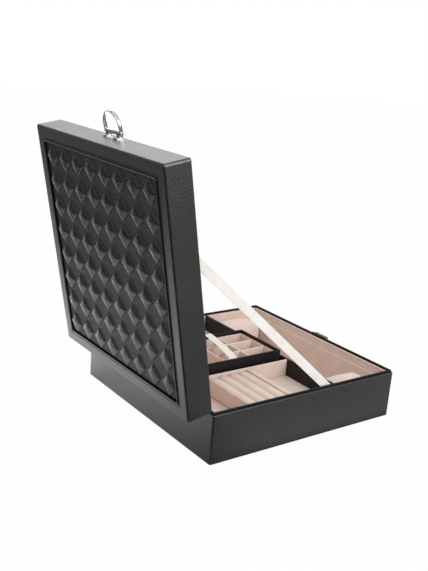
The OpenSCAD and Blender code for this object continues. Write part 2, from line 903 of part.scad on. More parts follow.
base_felt();
base_floor();
base_front();
base_rear();
base_left();
base_right();
lining_front();
lining_rear();
lining_left();
lining_right();
front_pad();
partition();
partition_lining();
deck_risers();
deck();
bay_wall_left();
bay_wall_right();
ring_bed();
ring_rolls();
hinge_leaf_base();
hinge_pins();
catch_plate();
catch_hook();
stay_ribbon_left();
stay_ribbon_right();
lid_board();
lid_front();
lid_rear();
lid_left();
lid_right();
lid_border();
lid_quilt();
lid_piping();
lid_ceiling();
lid_lining_front();
lid_lining_rear();
lid_lining_left();
lid_lining_right();
mirror_pane();  // mirror
mirror_surround();
hinge_leaf_lid();
clasp_bracket();
clasp_pin();
clasp_loop();
tray_base();
tray_front();
tray_rear();
tray_left();
tray_right();
tray_liner();
tray_pad();
tray_long_dividers();
tray_cross_dividers();
tray_ribbon();
pillow_left();
pillow_right();
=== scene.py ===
"""Looks of a ring display box: covered walls, quilted lid, velvet fittings,
satin ribbons and a chromed clasp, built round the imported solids. Lengths are
in mm, and metres where a comment says so. Pieces of the lid and of its loop
are drawn on the shut lid."""

import json
import logging
import math
from dataclasses import dataclass
from enum import Enum
from typing import Any

import bpy
import numpy as np
from bpy.types import Material, Node, NodeSocket, NodeTree, Object
from mathutils import Matrix, Vector


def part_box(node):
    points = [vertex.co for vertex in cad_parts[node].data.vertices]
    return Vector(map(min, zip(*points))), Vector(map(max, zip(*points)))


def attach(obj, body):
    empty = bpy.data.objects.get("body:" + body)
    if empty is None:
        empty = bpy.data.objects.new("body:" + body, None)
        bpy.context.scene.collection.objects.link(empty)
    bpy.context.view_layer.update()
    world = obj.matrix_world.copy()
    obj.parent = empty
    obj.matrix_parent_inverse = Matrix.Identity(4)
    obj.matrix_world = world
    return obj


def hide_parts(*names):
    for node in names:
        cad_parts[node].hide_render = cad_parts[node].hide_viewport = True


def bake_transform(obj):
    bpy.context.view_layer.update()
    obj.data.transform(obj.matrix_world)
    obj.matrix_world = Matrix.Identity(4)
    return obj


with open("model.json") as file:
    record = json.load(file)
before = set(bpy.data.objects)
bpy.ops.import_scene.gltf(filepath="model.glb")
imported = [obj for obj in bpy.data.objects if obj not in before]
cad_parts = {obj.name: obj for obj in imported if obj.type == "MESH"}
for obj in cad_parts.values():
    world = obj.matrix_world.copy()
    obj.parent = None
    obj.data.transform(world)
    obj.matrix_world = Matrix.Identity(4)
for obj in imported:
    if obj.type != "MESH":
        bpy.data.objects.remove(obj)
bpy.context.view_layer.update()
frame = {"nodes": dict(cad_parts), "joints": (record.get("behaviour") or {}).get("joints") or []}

MM = 0.001
TURN = 2 * math.pi
TINY = 1e-9                 # keeps a division by a length of 0 from failing
ROUNDEST = 0.49             # largest edge radius, as a share of a board
WHITE = (1.0, 1.0, 1.0, 1.0)
log = logging.getLogger("ring_box")

Box = tuple[np.ndarray, np.ndarray]     # lowest and highest corner
Shape = tuple[np.ndarray, list]         # points, and point numbers of the faces


class Side(Enum):
    """Which side of the box a piece is on, as the sign of its x."""

    LEFT = -1
    RIGHT = 1

    def node(self, stem: str) -> str:
        """The name of the node of this kind on this side."""
        return f"{stem}_{self.name.lower()}"


# ------------------------------------------------ materials


def linear(code: str) -> tuple[float, float, float, float]:
    """Turns an sRGB hex colour into linear values.

    Args:
        code: six hex digits, such as "d8c0b4".

    Returns:
        Linear red, green, blue and an alpha of 1.
    """
    parts = [int(code[i:i + 2], 16) / 255 for i in (0, 2, 4)]
    lin = [c / 12.92 if c <= 0.04045 else ((c + 0.055) / 1.055) ** 2.4
           for c in parts]
    return (lin[0], lin[1], lin[2], 1.0)


def connect(tree: NodeTree, node: Node, inputs: dict) -> None:
    """Sets or links a node's inputs.

    Args:
        tree: the node tree.
        node: the node.
        inputs: socket name or number to a value, to an output socket, or to a
            node, which stands for its first output.
    """
    for key, value in inputs.items():
        if isinstance(value, Node):
            value = value.outputs[0]
        if isinstance(value, NodeSocket):
            tree.links.new(value, node.inputs[key])
        else:
            node.inputs[key].default_value = value


def add_node(tree: NodeTree, kind: str, inputs: dict | None = None,
             **settings: Any) -> Node:
    """Adds one shader node, sets it and links it.

    Args:
        tree: the node tree.
        kind: the node's type name after "ShaderNode".
        inputs: its inputs, as for connect().
        settings: properties of the node.

    Returns:
        The new node.
    """
    node = tree.nodes.new("ShaderNode" + kind)
    for key, value in settings.items():
        setattr(node, key, value)
    connect(tree, node, inputs or {})
    return node


def empty_tree(owner: Any) -> NodeTree:
    """Empties a node tree.

    Args:
        owner: the material or world that it belongs to.

    Returns:
        The tree.
    """
    owner.use_nodes = True
    owner.node_tree.nodes.clear()
    return owner.node_tree


def two_tone(tree: NodeTree, pattern: Node, dark: str, light: str,
             low: float = 0.35, high: float = 0.65) -> Node:
    """Blends two colours by a pattern.

    Args:
        tree: the node tree.
        pattern: the pattern.
        dark: hex colour at the pattern's low end.
        light: hex colour at its high end.
        low: pattern value that is fully dark.
        high: pattern value that is fully light.

    Returns:
        The node that gives the colour.
    """
    ramp = add_node(tree, "ValToRGB", {"Fac": pattern})
    start, end = ramp.color_ramp.elements
    start.position, start.color = low, linear(dark)
    end.position, end.color = high, linear(light)
    return ramp


def broken_line(tree: NodeTree, value: NodeSocket, stops: tuple) -> Node:
    """A line through (position, level) stops, flat outside them: the first
    level, plus each stretch's rise, clamped to that stretch.

    Args:
        tree: the node tree.
        value: the position.
        stops: pairs in rising order.

    Returns:
        The node that gives the level.
    """
    total: Any = stops[0][1]
    for (a, low), (b, high) in zip(stops, stops[1:]):
        rise = add_node(tree, "MapRange", {
            "Value": value, "From Min": a, "From Max": b,
            "To Min": 0.0, "To Max": high - low})
        total = add_node(tree, "Math", {0: rise, 1: total}, operation="ADD")
    return total


@dataclass(frozen=True)
class Finish:
    """A finish and the record's slot for it."""

    name: str
    slot: str

    def draw(self, tree: NodeTree, shader: Node, at: NodeSocket) -> None:
        """Adds the finish's nodes. Each kind of finish has its own draw().

        Args:
            tree: the material's tree.
            shader: its Principled shader.
            at: the Object coordinates that place the patterns.
        """
        raise NotImplementedError

    def material(self) -> Material:
        """Makes the material, once.

        Returns:
            The material.
        """
        found = bpy.data.materials.get(self.name)
        if found:
            return found
        mat = bpy.data.materials.new(self.name)
        tree = empty_tree(mat)
        shader = add_node(tree, "BsdfPrincipled")
        add_node(tree, "OutputMaterial", {"Surface": shader})
        self.draw(tree, shader, add_node(tree, "TexCoord").outputs["Object"])
        return mat


@dataclass(frozen=True)
class PuLeather(Finish):
    """Polyurethane-coated leathercloth, embossed with a fine pebble grain. The
    coating gives a soft gloss that brightens at a glancing angle."""

    dark: str = "161617"
    light: str = "1c1c1d"
    rough: float = 0.36
    gloss: float = 0.9      # strength of the surface reflection
    coat: float = 1.0       # weight of the clear top coat
    grain_mm: float = 2.0   # width of one pebble, drawn a little coarse
    depth: float = 0.24     # of the grain
    pore_mm: float = 0.35
    drift_mm: float = 35.0  # size of the patches of tone and gloss

    def draw(self, tree: NodeTree, shader: Node, at: NodeSocket) -> None:
        """Adds pebble grain, fine pores and a slow drift of tone and gloss.

        Args:
            tree, shader, at: as for Finish.draw().
        """
        drift = add_node(tree, "TexNoise", {
            "Vector": at, "Scale": 1 / (self.drift_mm * MM), "Detail": 4.0})
        pebble = add_node(tree, "TexVoronoi", {
            "Vector": at, "Scale": 1 / (self.grain_mm * MM)},
            feature="SMOOTH_F1")
        pores = add_node(tree, "TexNoise", {
            "Vector": at, "Scale": 1 / (self.pore_mm * MM), "Detail": 2.0})
        rough = add_node(tree, "MapRange", {
            "Value": drift, "From Min": 0.3, "From Max": 0.7,
            "To Min": self.rough - 0.04, "To Max": self.rough + 0.05})
        fine = add_node(tree, "Bump", {
            "Height": pores, "Strength": 0.06, "Distance": 0.05 * MM})
        bump = add_node(tree, "Bump", {
            "Height": pebble, "Strength": self.depth * 4,
            "Distance": self.depth * MM, "Normal": fine}, invert=True)
        connect(tree, shader, {
            "Base Color": two_tone(tree, drift, self.dark, self.light),
            "Roughness": rough, "Normal": bump,
            "Specular IOR Level": self.gloss, "Coat Weight": self.coat,
            "Coat IOR": 1.6, "Coat Roughness": self.rough})


@dataclass(frozen=True)
class QuiltLeather(PuLeather):
    """The same leathercloth over padding: pulled smooth over each puff, and
    slack and matte between them."""

    slack: float = 0.50            # roughness between the puffs
    wrinkle_mm: float = 3.2        # size of the slack cloth's wrinkles
    wrinkles: tuple = (0.9, 0.06)  # their strength between the puffs, on them

    def draw(self, tree: NodeTree, shader: Node, at: NodeSocket) -> None:
        """Adds the leather, then lets the piece's "taut" value, 0 between the
        puffs and 1 on them, set how polished and how wrinkled it is.

        Args:
            tree, shader, at: as for Finish.draw().
        """
        super().draw(tree, shader, at)
        taut = add_node(tree, "Attribute", attribute_name="taut").outputs["Fac"]
        rough = add_node(tree, "MapRange", {
            "Value": taut, "To Min": self.slack, "To Max": self.rough})
        loose = add_node(tree, "MapRange", {
            "Value": taut, "To Min": self.wrinkles[0],
            "To Max": self.wrinkles[1]})
        wrinkle = add_node(tree, "TexNoise", {
            "Vector": at, "Scale": 1 / (self.wrinkle_mm * MM), "Detail": 3.0,
            "Distortion": 0.8})
        bump = add_node(tree, "Bump", {
            "Height": wrinkle, "Strength": loose, "Distance": 1.2 * MM,
            "Normal": shader.inputs["Normal"].links[0].from_socket})
        connect(tree, shader, {"Roughness": rough, "Normal": bump})


@dataclass(frozen=True)
class Velvet(Finish):
    """Flocked velvet: a short upright pile with a pale sheen at its edges and
    patches where the pile lies another way."""

    dark: str = "e2cdc1"
    light: str = "eedcd1"
    sheen: str = "f4e8e0"
    nap_mm: float = 18.0  # size of the patches
    pile_mm: float = 0.45

    def draw(self, tree: NodeTree, shader: Node, at: NodeSocket) -> None:
        """Adds nap patches, pile speckle and sheen.

        Args:
            tree, shader, at: as for Finish.draw().
        """
        nap = add_node(tree, "TexNoise", {
            "Vector": at, "Scale": 1 / (self.nap_mm * MM), "Detail": 3.0})
        pile = add_node(tree, "TexNoise", {
            "Vector": at, "Scale": 1 / (self.pile_mm * MM), "Detail": 2.0})
        both = add_node(tree, "Mix", {0: 0.3, 2: nap, 3: pile})
        bump = add_node(tree, "Bump", {
            "Height": pile, "Strength": 0.35, "Distance": 0.12 * MM})
        connect(tree, shader, {
            "Base Color": two_tone(tree, both, self.dark, self.light, 0.3, 0.7),
            "Normal": bump, "Roughness": 0.95, "Specular IOR Level": 0.15,
            "Sheen Weight": 0.25, "Sheen Roughness": 0.5,
            "Sheen Tint": linear(self.sheen)})


@dataclass(frozen=True)
class Satin(Finish):
    """Polyester satin ribbon, woven: fine ribs across it, and a soft lustre."""

    dark: str = "efe9e1"
    light: str = "f9f5f0"
    rib_mm: float = 0.7  # coarser than the thread, so that it shows
    bands: float = 3.18  # the wave texture's bands to a unit at scale 1
    tone_mm: float = 12.0

    def draw(self, tree: NodeTree, shader: Node, at: NodeSocket) -> None:
        """Adds ribs along the UV's length, which is in mm, and a slow drift of
        tone.

        Args:
            tree, shader, at: as for Finish.draw().
        """
        ribs = add_node(tree, "TexWave", {
            "Vector": at.node.outputs["UV"], "Distortion": 0.6,
            "Scale": 1 / (self.rib_mm * self.bands)}, bands_direction="Y")
        tone = add_node(tree, "TexNoise", {
            "Vector": at, "Scale": 1 / (self.tone_mm * MM), "Detail": 2.0})
        bump = add_node(tree, "Bump", {
            "Height": ribs.outputs["Fac"], "Strength": 0.2,
            "Distance": 0.08 * MM})
        connect(tree, shader, {
            "Base Color": two_tone(tree, tone, self.dark, self.light),
            "Normal": bump, "Roughness": 0.42, "Sheen Weight": 0.2})


@dataclass(frozen=True)
class Polished(Finish):
    """A mirror-bright surface with faint marks in its gloss."""

    colour: str
    mark_mm: float  # size of the marks
    detail: float
    smooth: float   # roughness between the marks
    marked: float   # and on them

    def draw(self, tree: NodeTree, shader: Node, at: NodeSocket) -> None:
        """Adds the faint marks.

        Args:
            tree, shader, at: as for Finish.draw().
        """
        marks = add_node(tree, "TexNoise", {
            "Vector": at, "Scale": 1 / (self.mark_mm * MM),
            "Detail": self.detail})
        rough = add_node(tree, "MapRange", {
            "Value": marks, "To Min": self.smooth, "To Max": self.marked})
        connect(tree, shader, {"Base Color": linear(self.colour),
                               "Metallic": 1.0, "Roughness": rough})


@dataclass(frozen=True)
class Fibrous(Finish):
    """A matte surface of pressed fibres, with flecks."""

    dark: str
    light: str
    fibre_mm: float
    detail: float
    rough: float
    tangle: float = 0.0  # how far the fibres curl
    nap: float = 0.0     # strength of their relief

    def draw(self, tree: NodeTree, shader: Node, at: NodeSocket) -> None:
        """Adds the fibres to the colour, and to the relief if they have any.

        Args:
            tree, shader, at: as for Finish.draw().
        """
        fibre = add_node(tree, "TexNoise", {
            "Vector": at, "Scale": 1 / (self.fibre_mm * MM),
            "Detail": self.detail, "Distortion": self.tangle})
        connect(tree, shader, {
            "Base Color": two_tone(tree, fibre, self.dark, self.light),
            "Roughness": self.rough})
        if self.nap:
            bump = add_node(tree, "Bump", {
                "Height": fibre, "Strength": self.nap, "Distance": 0.2 * MM})
            connect(tree, shader, {"Normal": bump})


COVER = PuLeather("leathercloth_cover", "leather", depth=0.28)
QUILT = QuiltLeather("leathercloth_quilted", "quilt", dark="202021",
                     light="282829", rough=0.22, gloss=1.0, coat=0.0,
                     grain_mm=1.8, depth=0.3)
TRIM = PuLeather("leathercloth_partition", "cover", dark="121213",
                 light="171718", rough=0.50, gloss=0.3, coat=0.0)
VELVET = Velvet("velvet_flocked", "velvet")
SATIN = Satin("satin_ribbon", "satin")
# chromium plate on die-cast zinc: bright, with faint polishing marks
CHROME = Polished("chromed_zinc", "metal", "dcdde0", 2.5, 4.0, 0.07, 0.2)
# silvered float glass: flat, faintly green, with a faint smear
MIRROR = Polished("silvered_glass", "mirror", "e9efed", 30.0, 2.0, 0.0, 0.05)
# needled wool felt: matte, with tangled fibres
FELT = Fibrous("needled_felt", "felt", "151516", "252526", 0.9, 6.0, 1.0,
               tangle=1.5, nap=0.5)
# dyed greyboard, calendered: matte and flat, with pulp flecks
BOARD = Fibrous("dyed_greyboard", "board", "1e1e1f", "2a2a2b", 1.5, 5.0, 0.85)


def dress(finish: Finish, *names: str) -> None:
    """Gives CAD nodes a finish.

    Args:
        finish: the finish.
        names: the nodes.
    """
    for name in names:
        node = frame["nodes"][name]
        if not node.material_slots:
            node.data.materials.append(finish.material())
        for slot in node.material_slots:
            slot.material = finish.material()


# ------------------------------------------------- surfaces


class LidFrame:
    """Carries points drawn on the shut lid to where the open lid is."""

    def __init__(self) -> None:
        """Reads the hinge's place and the opening angle from the joints."""
        hinge = next(j for j in frame["joints"] if j["name"] == "lid_hinge")
        self.axis = np.array(hinge["pos_m"]) / MM
        self.angle = math.radians(max(abs(v) for v in hinge["range_deg"]))

    def __call__(self, points: np.ndarray) -> np.ndarray:
        """Turns points back about the hinge's axis.

        Args:
            points: n by 3, on the shut lid.

        Returns:
            The same points on the open lid.
        """
        c, s = math.cos(-self.angle), math.sin(-self.angle)
        p = points - self.axis
        y = p[:, 1] * c - p[:, 2] * s
        z = p[:, 1] * s + p[:, 2] * c
        return np.stack([p[:, 0], y, z], 1) + self.axis


OPENED = LidFrame()


def put(name: str, data: Any) -> Object:
    """Makes an object and links it to the scene.

    Args:
        name: its name.
        data: its mesh, lamp or camera.

    Returns:
        The object.
    """
    thing = bpy.data.objects.new(name, data)
    bpy.context.scene.collection.objects.link(thing)
    return thing


def unit(vectors: np.ndarray) -> np.ndarray:
    """Vectors, n by any number, scaled to a length of 1."""
    return vectors / np.maximum(
        np.linalg.norm(vectors, axis=1, keepdims=True), TINY)


def by_size(faces: list) -> list[np.ndarray]:
    """Sorts faces into one array for each number of corners."""
    return [np.array([f for f in faces if len(f) == size])
            for size in dict.fromkeys(map(len, faces))]


def outward(points: np.ndarray, faces: list) -> list:
    """Turns all faces round if the closed surface's signed volume, the sum of
    a . (b x c) / 6 over its triangles, is negative.

    Args:
        points: n by 3.
        faces: point numbers of each face, all turning the same way.

    Returns:
        The faces, turning outwards.
    """
    total = 0.0
    for group in by_size(faces):
        ring = points[group]
        total += np.sum(ring[:, :1] * np.cross(ring[:, 1:-1], ring[:, 2:]))
    return faces if total >= 0 else [f[::-1] for f in faces]


def mesh_piece(name: str, points: np.ndarray, faces: list, finish: Finish,
               body: str | None, *nodes: str,
               uv: np.ndarray | None = None) -> Object:
    """Makes a smooth piece from arrays and puts it on a body. Pieces of the
    lid and its loop are carried to where the lid stands open.

    Args:
        name: the piece's name.
        points: n by 3.
        faces: point numbers of each face, all turning the same way.
        finish: its finish.
        body: the body that it rides on, or None for none.
        nodes: the CAD nodes that it replaces.
        uv: n by 2, one per point.

    Returns:
        The object.
    """
    if body in ("lid", "clasp_loop"):
        points = OPENED(points)
    mesh = bpy.data.meshes.new(name)
    mesh.from_pydata((points * MM).tolist(), [], outward(points, faces))
    mesh.polygons.foreach_set("use_smooth", np.full(len(mesh.polygons), True))
    if uv is not None:
        corner = np.empty(len(mesh.loops), np.int32)
        mesh.loops.foreach_get("vertex_index", corner)
        layer = mesh.uv_layers.new(name="length")
        layer.data.foreach_set("uv", uv.astype(np.float32)[corner].ravel())
    mesh.materials.append(finish.material())
    mesh.update()
    piece = put(name, mesh)
    if body:
        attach(piece, body)
    if nodes:
        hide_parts(*nodes)
    return piece


def grid_faces(rows: int, cols: int, wrap: bool = False,
               first: int = 0) -> np.ndarray:
    """Quads of a grid of points stored row by row.

    Args:
        rows: rows of points.
        cols: points in a row.
        wrap: whether a row's last point joins its first.
        first: number of the first point.

    Returns:
        m by 4 point numbers.
    """
    i, j = np.meshgrid(np.arange(rows - 1), np.arange(cols if wrap else cols - 1),
                       indexing="ij")
    k = (j + 1) % cols
    quads = np.stack([i * cols + j, i * cols + k, (i + 1) * cols + k,
                      (i + 1) * cols + j], -1)
    return quads.reshape(-1, 4) + first


def tube_faces(rows: int, cols: int) -> list:
    """Faces of a tube of rings of points, with a cap at each end.

    Args:
        rows: rings.
        cols: points in a ring.

    Returns:
        Point numbers of each face.
    """
    return [*grid_faces(rows, cols, wrap=True).tolist(),
            list(range(cols))[::-1],
            list(range((rows - 1) * cols, rows * cols))]


def join(parts: list[Shape]) -> Shape:
    """Puts several closed surfaces into one list of points and faces.

    Args:
        parts: the surfaces.

    Returns:
        All of them, each turned outwards.
    """
    points, faces, start = [], [], 0
    for p, f in parts:
        points.append(p)
        for group in by_size(outward(p, f)):
            faces += (group + start).tolist()
        start += len(p)
    return np.concatenate(points), faces


def sweep(profile: np.ndarray, centre: np.ndarray, side: np.ndarray,
          up: np.ndarray) -> Shape:
    """Carries a closed profile along a path: each point is
    centre + side * profile_x + up * profile_y. Both ends are capped.

    Args:
        profile: m by 2.
        centre: n by 3.
        side: n by 3, unit.
        up: n by 3, unit.

    Returns:
        Points and faces.
    """
    pts = (centre[:, None] + side[:, None] * profile[None, :, :1]
           + up[:, None] * profile[None, :, 1:])
    return pts.reshape(-1, 3), tube_faces(len(centre), len(profile))


def flat_profile(width: float, thick: float) -> np.ndarray:
    """Outline of a ribbon across its width: flat, with round selvedges.

    Args:
        width: its width.
        thick: its thickness.

    Returns:
        m by 2, anticlockwise.
    """
    r = thick / 2
    a = np.linspace(-math.pi / 2, math.pi / 2, 5)
    across = np.linspace(-1, 1, 5)[1:-1] * (width / 2 - r)
    right = np.stack([width / 2 - r + r * np.cos(a), r * np.sin(a)], 1)
    top = np.stack([across[::-1], np.full(3, r)], 1)
    return np.concatenate([right, top, -right, -top])


def ribbon_uv(profile: np.ndarray, along: np.ndarray) -> np.ndarray:
    """UV of a swept ribbon: the place across it, and the length along it."""
    return np.stack([np.tile(profile[:, 0], len(along)),
                     np.repeat(along, len(profile))], 1)


def edge_steps(low: float, high: float, r: float, steps: int,
               middle: int) -> np.ndarray:
    """Places along one side of a rounded board: close together over the two
    roundings, at r * tan(angle) for equal angles, and even between them.

    Args:
        low: the side's start.
        high: its end.
        r: radius of the roundings.
        steps: steps in half a rounding.
        middle: places between the roundings.

    Returns:
        The places, rising.
    """
    bend = r * (1 - np.tan(np.linspace(math.pi / 4, 0, steps + 1)))
    inner = np.linspace(low + r, high - r, middle + 2)[1:-1]
    return np.concatenate([low + bend, inner, high - bend[::-1]])


def rounded_board(low: np.ndarray, high: np.ndarray, r: float, steps: int = 3,
                  middle: int = 0, crown: float = 0.0) -> Shape:
    """A board with all its edges rounded.

    Each point q of the sharp board is carried to the core's nearest point c,
    plus r times the direction from c to q. A crown lifts the top by
    crown * (1 - u^2) * (1 - v^2), with u and v from -1 to 1 across it.

    Args:
        low: the lowest corner.
        high: the highest corner.
        r: radius of the edges.
        steps: steps in half a rounding.
        middle: rows between the roundings.
        crown: lift of the top's middle.

    Returns:
        Points, and quads that turn outwards.
    """
    r = min(r, float((high - low).min()) * ROUNDEST)
    along = [edge_steps(low[a], high[a], r, steps, middle) for a in range(3)]
    points, quads, start = [], [], 0
    for a in range(3):
        b, c = (a + 1) % 3, (a + 2) % 3
        for sign, level in ((-1, low[a]), (1, high[a])):
            ub, uc = np.meshgrid(along[b], along[c], indexing="ij")
            q = np.empty(ub.shape + (3,))
            q[..., a], q[..., b], q[..., c] = level, ub, uc
            f = grid_faces(*ub.shape, first=start)
            # the grid turns against +a, since its rows run along b
            quads.append(f if sign < 0 else f[:, ::-1])
            points.append(q.reshape(-1, 3))
            start += ub.size
    key, back = np.unique(np.round(np.concatenate(points), 5), axis=0,
                          return_inverse=True)
    core = np.clip(key, low + r, high - r)
    p = core + r * unit(key - core)
    if crown:
        u = (2 * p[:, :2] - low[:2] - high[:2]) / (high[:2] - low[:2])
        lift = crown * np.prod(1 - np.clip(u, -1, 1) ** 2, axis=1)
        p[:, 2] += np.where(p[:, 2] > (low[2] + high[2]) / 2, lift, 0)
    return p, back.ravel()[np.concatenate(quads)][:, ::-1].tolist()


def node_box(name: str) -> Box:
    """A node's lowest and highest corner."""
    low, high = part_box(name)
    return np.array(low) / MM, np.array(high) / MM


def cut(box: Box, **sides: float) -> Box:
    """Moves some sides of a box.

    Args:
        box: the box.
        sides: new places, by name: x0, y0 and z0 are the low sides, and x1,
            y1 and z1 the high ones.

    Returns:
        The new box.
    """
    corners = np.array(box, float)
    for side, place in sides.items():
        corners[int(side[1]), "xyz".index(side[0])] = place
    return corners[0], corners[1]


def boards(name: str, body: str, corners: list[tuple], r: float, *nodes: str,
           **shape: Any) -> Object:
    """Makes one velvet-covered piece of several rounded boards.

    Args:
        name: the piece's name.
        body: the body that it rides on.
        corners: lowest and highest corner of each board; a third value is its
            own radius.
        r: radius of the other boards' edges.
        nodes: the CAD nodes that it replaces.
        shape: more of rounded_board's settings.

    Returns:
        The object.
    """
    points, faces = join([rounded_board(low, high, *(own or [r]), **shape)
                          for low, high, *own in corners])
    return mesh_piece(name, points, faces, VELVET, body, *nodes)


# -------------------------------------------- sub-assemblies


@dataclass
class Cover:
    """Leathercloth drawn over a square of boards: one section carried round
    it, with rolled edges and rounded upright corners."""

    side: float = 130.0  # half the square's side
    corner: float = 2.5  # radius of the upright corners
    least: float = 0.02  # the same at the section's inner points
    steps: int = 6       # steps in one rounding
    hold: float = 0.25   # from a rounding to the next row of points
    sharp: float = 40.0  # degrees past which an edge shades sharp

    def section(self, corners: list[tuple[float, float, float]]) -> np.ndarray:
        """Rounds a polygon's corners. An arc of radius r starts and ends
        r / tan(angle / 2) from its corner, and its centre is
        r / sin(angle / 2) away along the bisector.

        Args:
            corners: distance from the middle, height and radius of each.

        Returns:
            m by 2.
        """
        points = []
        for k, (u, z, r) in enumerate(corners):
            at = np.array([u, z])
            if not r:
                points.append([at])
                continue
            a = np.array(corners[k - 1][:2]) - at
            b = np.array(corners[(k + 1) % len(corners)][:2]) - at
            a, b = a / np.linalg.norm(a), b / np.linalg.norm(b)
            half = math.acos(float(np.clip(a @ b, -1, 1))) / 2
            start, end = at + a * r / math.tan(half), at + b * r / math.tan(half)
            middle = at + (a + b) / np.linalg.norm(a + b) * r / math.sin(half)
            first = math.atan2(*(start - middle)[::-1])
            turn = math.atan2(*(end - middle)[::-1]) - first
            turn = (turn + math.pi) % TURN - math.pi
            arc = first + turn * np.linspace(0, 1, self.steps + 1)
            points.append(np.concatenate([
                [start + a * self.hold],
                middle + r * np.stack([np.cos(arc), np.sin(arc)], 1),
                [end + b * self.hold]]))
        return np.concatenate(points)

    def around(self, section: np.ndarray) -> Shape:
        """Carries a section round the square. A point at the distance u turns
        each corner on an arc of radius p = max(u - (side - corner), least)
        about (u - p, u - p).

        Args:
            section: m by 2, distance and height.

        Returns:
            Points and faces.
        """
        u, z = section[:, 0], section[:, 1]
        p = np.maximum(u - (self.side - self.corner), self.least)
        a = np.linspace(0, math.pi / 2, self.steps + 1)[:, None]
        x = np.concatenate([[u], u - p + p * np.cos(a), [u - p - self.hold]])
        y = np.concatenate([[u - p - self.hold], u - p + p * np.sin(a), [u]])
        turns = [(x, y), (-y, x), (-x, -y), (y, -x)]
        points = np.concatenate([np.stack([i, j, 0 * i + z], -1)
                                 for i, j in turns]).reshape(-1, 3)
        rows = 4 * len(x)
        faces = grid_faces(rows + 1, len(u), wrap=True) % (rows * len(u))
        return points, faces.tolist()

    def piece(self, name: str, body: str, finish: Finish, corners: list[tuple],
              *nodes: str) -> Object:
        """Makes a piece of the cover.

        Args:
            name: its name.
            body: the body that it rides on.
            finish: its finish.
            corners: the section's corners, as for section().
            nodes: the CAD nodes that it replaces.

        Returns:
            The object.
        """
        cover = mesh_piece(name, *self.around(self.section(corners)), finish,
                           body, *nodes)
        cover.data.set_sharp_from_angle(angle=math.radians(self.sharp))
        return cover


@dataclass
class BoxShell:
    """The covered walls of the base, its bottom and its felt."""

    inner: float = 126.0  # inner face of the walls
    outer: float = 130.0
    low: float = 1.2
    step: float = 56.1    # where the cover ends and the rim strip starts
    rim: float = 128.4    # outer face of the rim strip
    top: float = 58.6
    low_r: float = 0.9    # rolled edge at the walls' foot
    step_r: float = 0.7   # and at the step
    rim_r: float = 0.6    # rolled outer edge of the strip
    inner_r: float = 0.5  # and its inner one

    def build(self) -> list[Object]:
        """Makes the covered walls with a darker, matte strip round their rim,
        partly its dark turned edge and partly painted shade on the rim's top,
        and dresses the partition and the hidden boards.

        Returns:
            The pieces.
        """
        i, o = self.inner, self.outer
        walls = Cover().piece(
            "base_cover", "base", COVER,
            [(i, self.low, 0), (o, self.low, self.low_r),
             (o, self.step, self.step_r), (i, self.step, 0)],
            "base_front", "base_rear", "base_left", "base_right")
        # painted shade: the strip's darker, duller finish stands in for the shade on the rim's
        # top as well as its turned edge
        strip = Cover().piece(
            "base_rim_strip", "base", TRIM,
            [(i, self.step, 0), (self.rim, self.step, 0),
             (self.rim, self.top, self.rim_r), (i, self.top, self.inner_r)])
        dress(TRIM, "partition")
        dress(FELT, "base_felt")
        dress(BOARD, "base_floor", "deck_risers")
        return [walls, strip]


@dataclass
class BaseLining:
    """Velvet-covered boards inside the base."""

    board: float = 1.2     # thickness of a lining board
    ledge: float = 1.8     # how far the ledge stands out
    ledge_z: float = 46.0  # height of the ledge's top
    ledge_r: float = 1.45  # its rolled edge at the front
    r: float = 0.55        # rolled edge of a covered board
    bead: float = 0.9      # the same on the front lining and bay walls
    hem: float = 2.0       # turned hem along the front lining's top
    pad_r: float = 1.6     # rounding of the floor pad
    pad_crown: float = 0.5

    def front(self) -> Object:
        """The front lining, with its ledge.

        Returns:
            The piece.
        """
        box = node_box("lining_front")
        y, top = box[0][1], box[1][2]
        return boards("front_lining", "base",
                      [cut(box, y1=y + self.board),
                       cut(box, y1=y + self.hem, z0=top - self.hem),
                       (*cut(box, z1=self.ledge_z), self.ledge_r)],
                      self.bead, "lining_front")

    def flank(self, side: Side) -> Object:
        """A side lining: a ledge beside the front compartment, plain behind.

        Args:
            side: which one.

        Returns:
            The object.
        """
        node = side.node("lining")
        box = node_box(node)
        low = side is Side.LEFT
        wall, inner = (box[0][0], "x1") if low else (box[1][0], "x0")
        face, step = ({inner: wall - side.value * depth}
                      for depth in (self.board, self.board + self.ledge))
        (_, front_y, _), (_, rear_y, _) = node_box("partition")
        return boards(
            node + "_cover", "base",
            [cut(box, y1=front_y, z0=self.ledge_z, **face),
             cut(box, y0=box[0][1] + self.ledge, y1=front_y, z1=self.ledge_z,
                 **step),
             cut(box, y0=rear_y, z0=node_box("deck")[1][2], **face)],
            self.r, node)

    def plain(self, node: str, r: float, **shape: Any) -> Object:
        """One plain covered board in place of a node."""
        return boards(node + "_cover", "base", [node_box(node)], r, node, **shape)

    def build(self) -> list[Object]:
        """Makes every lining of the base.

        Returns:
            The pieces.
        """
        pad = self.plain("front_pad", self.pad_r, middle=14, crown=self.pad_crown)
        plain = {"lining_rear": self.r, "partition_lining": self.r,
                 "deck": self.r, "bay_wall_left": self.bead,
                 "bay_wall_right": self.bead}
        return [pad, self.front(), *map(self.flank, Side),
                *(self.plain(node, r) for node, r in plain.items())]


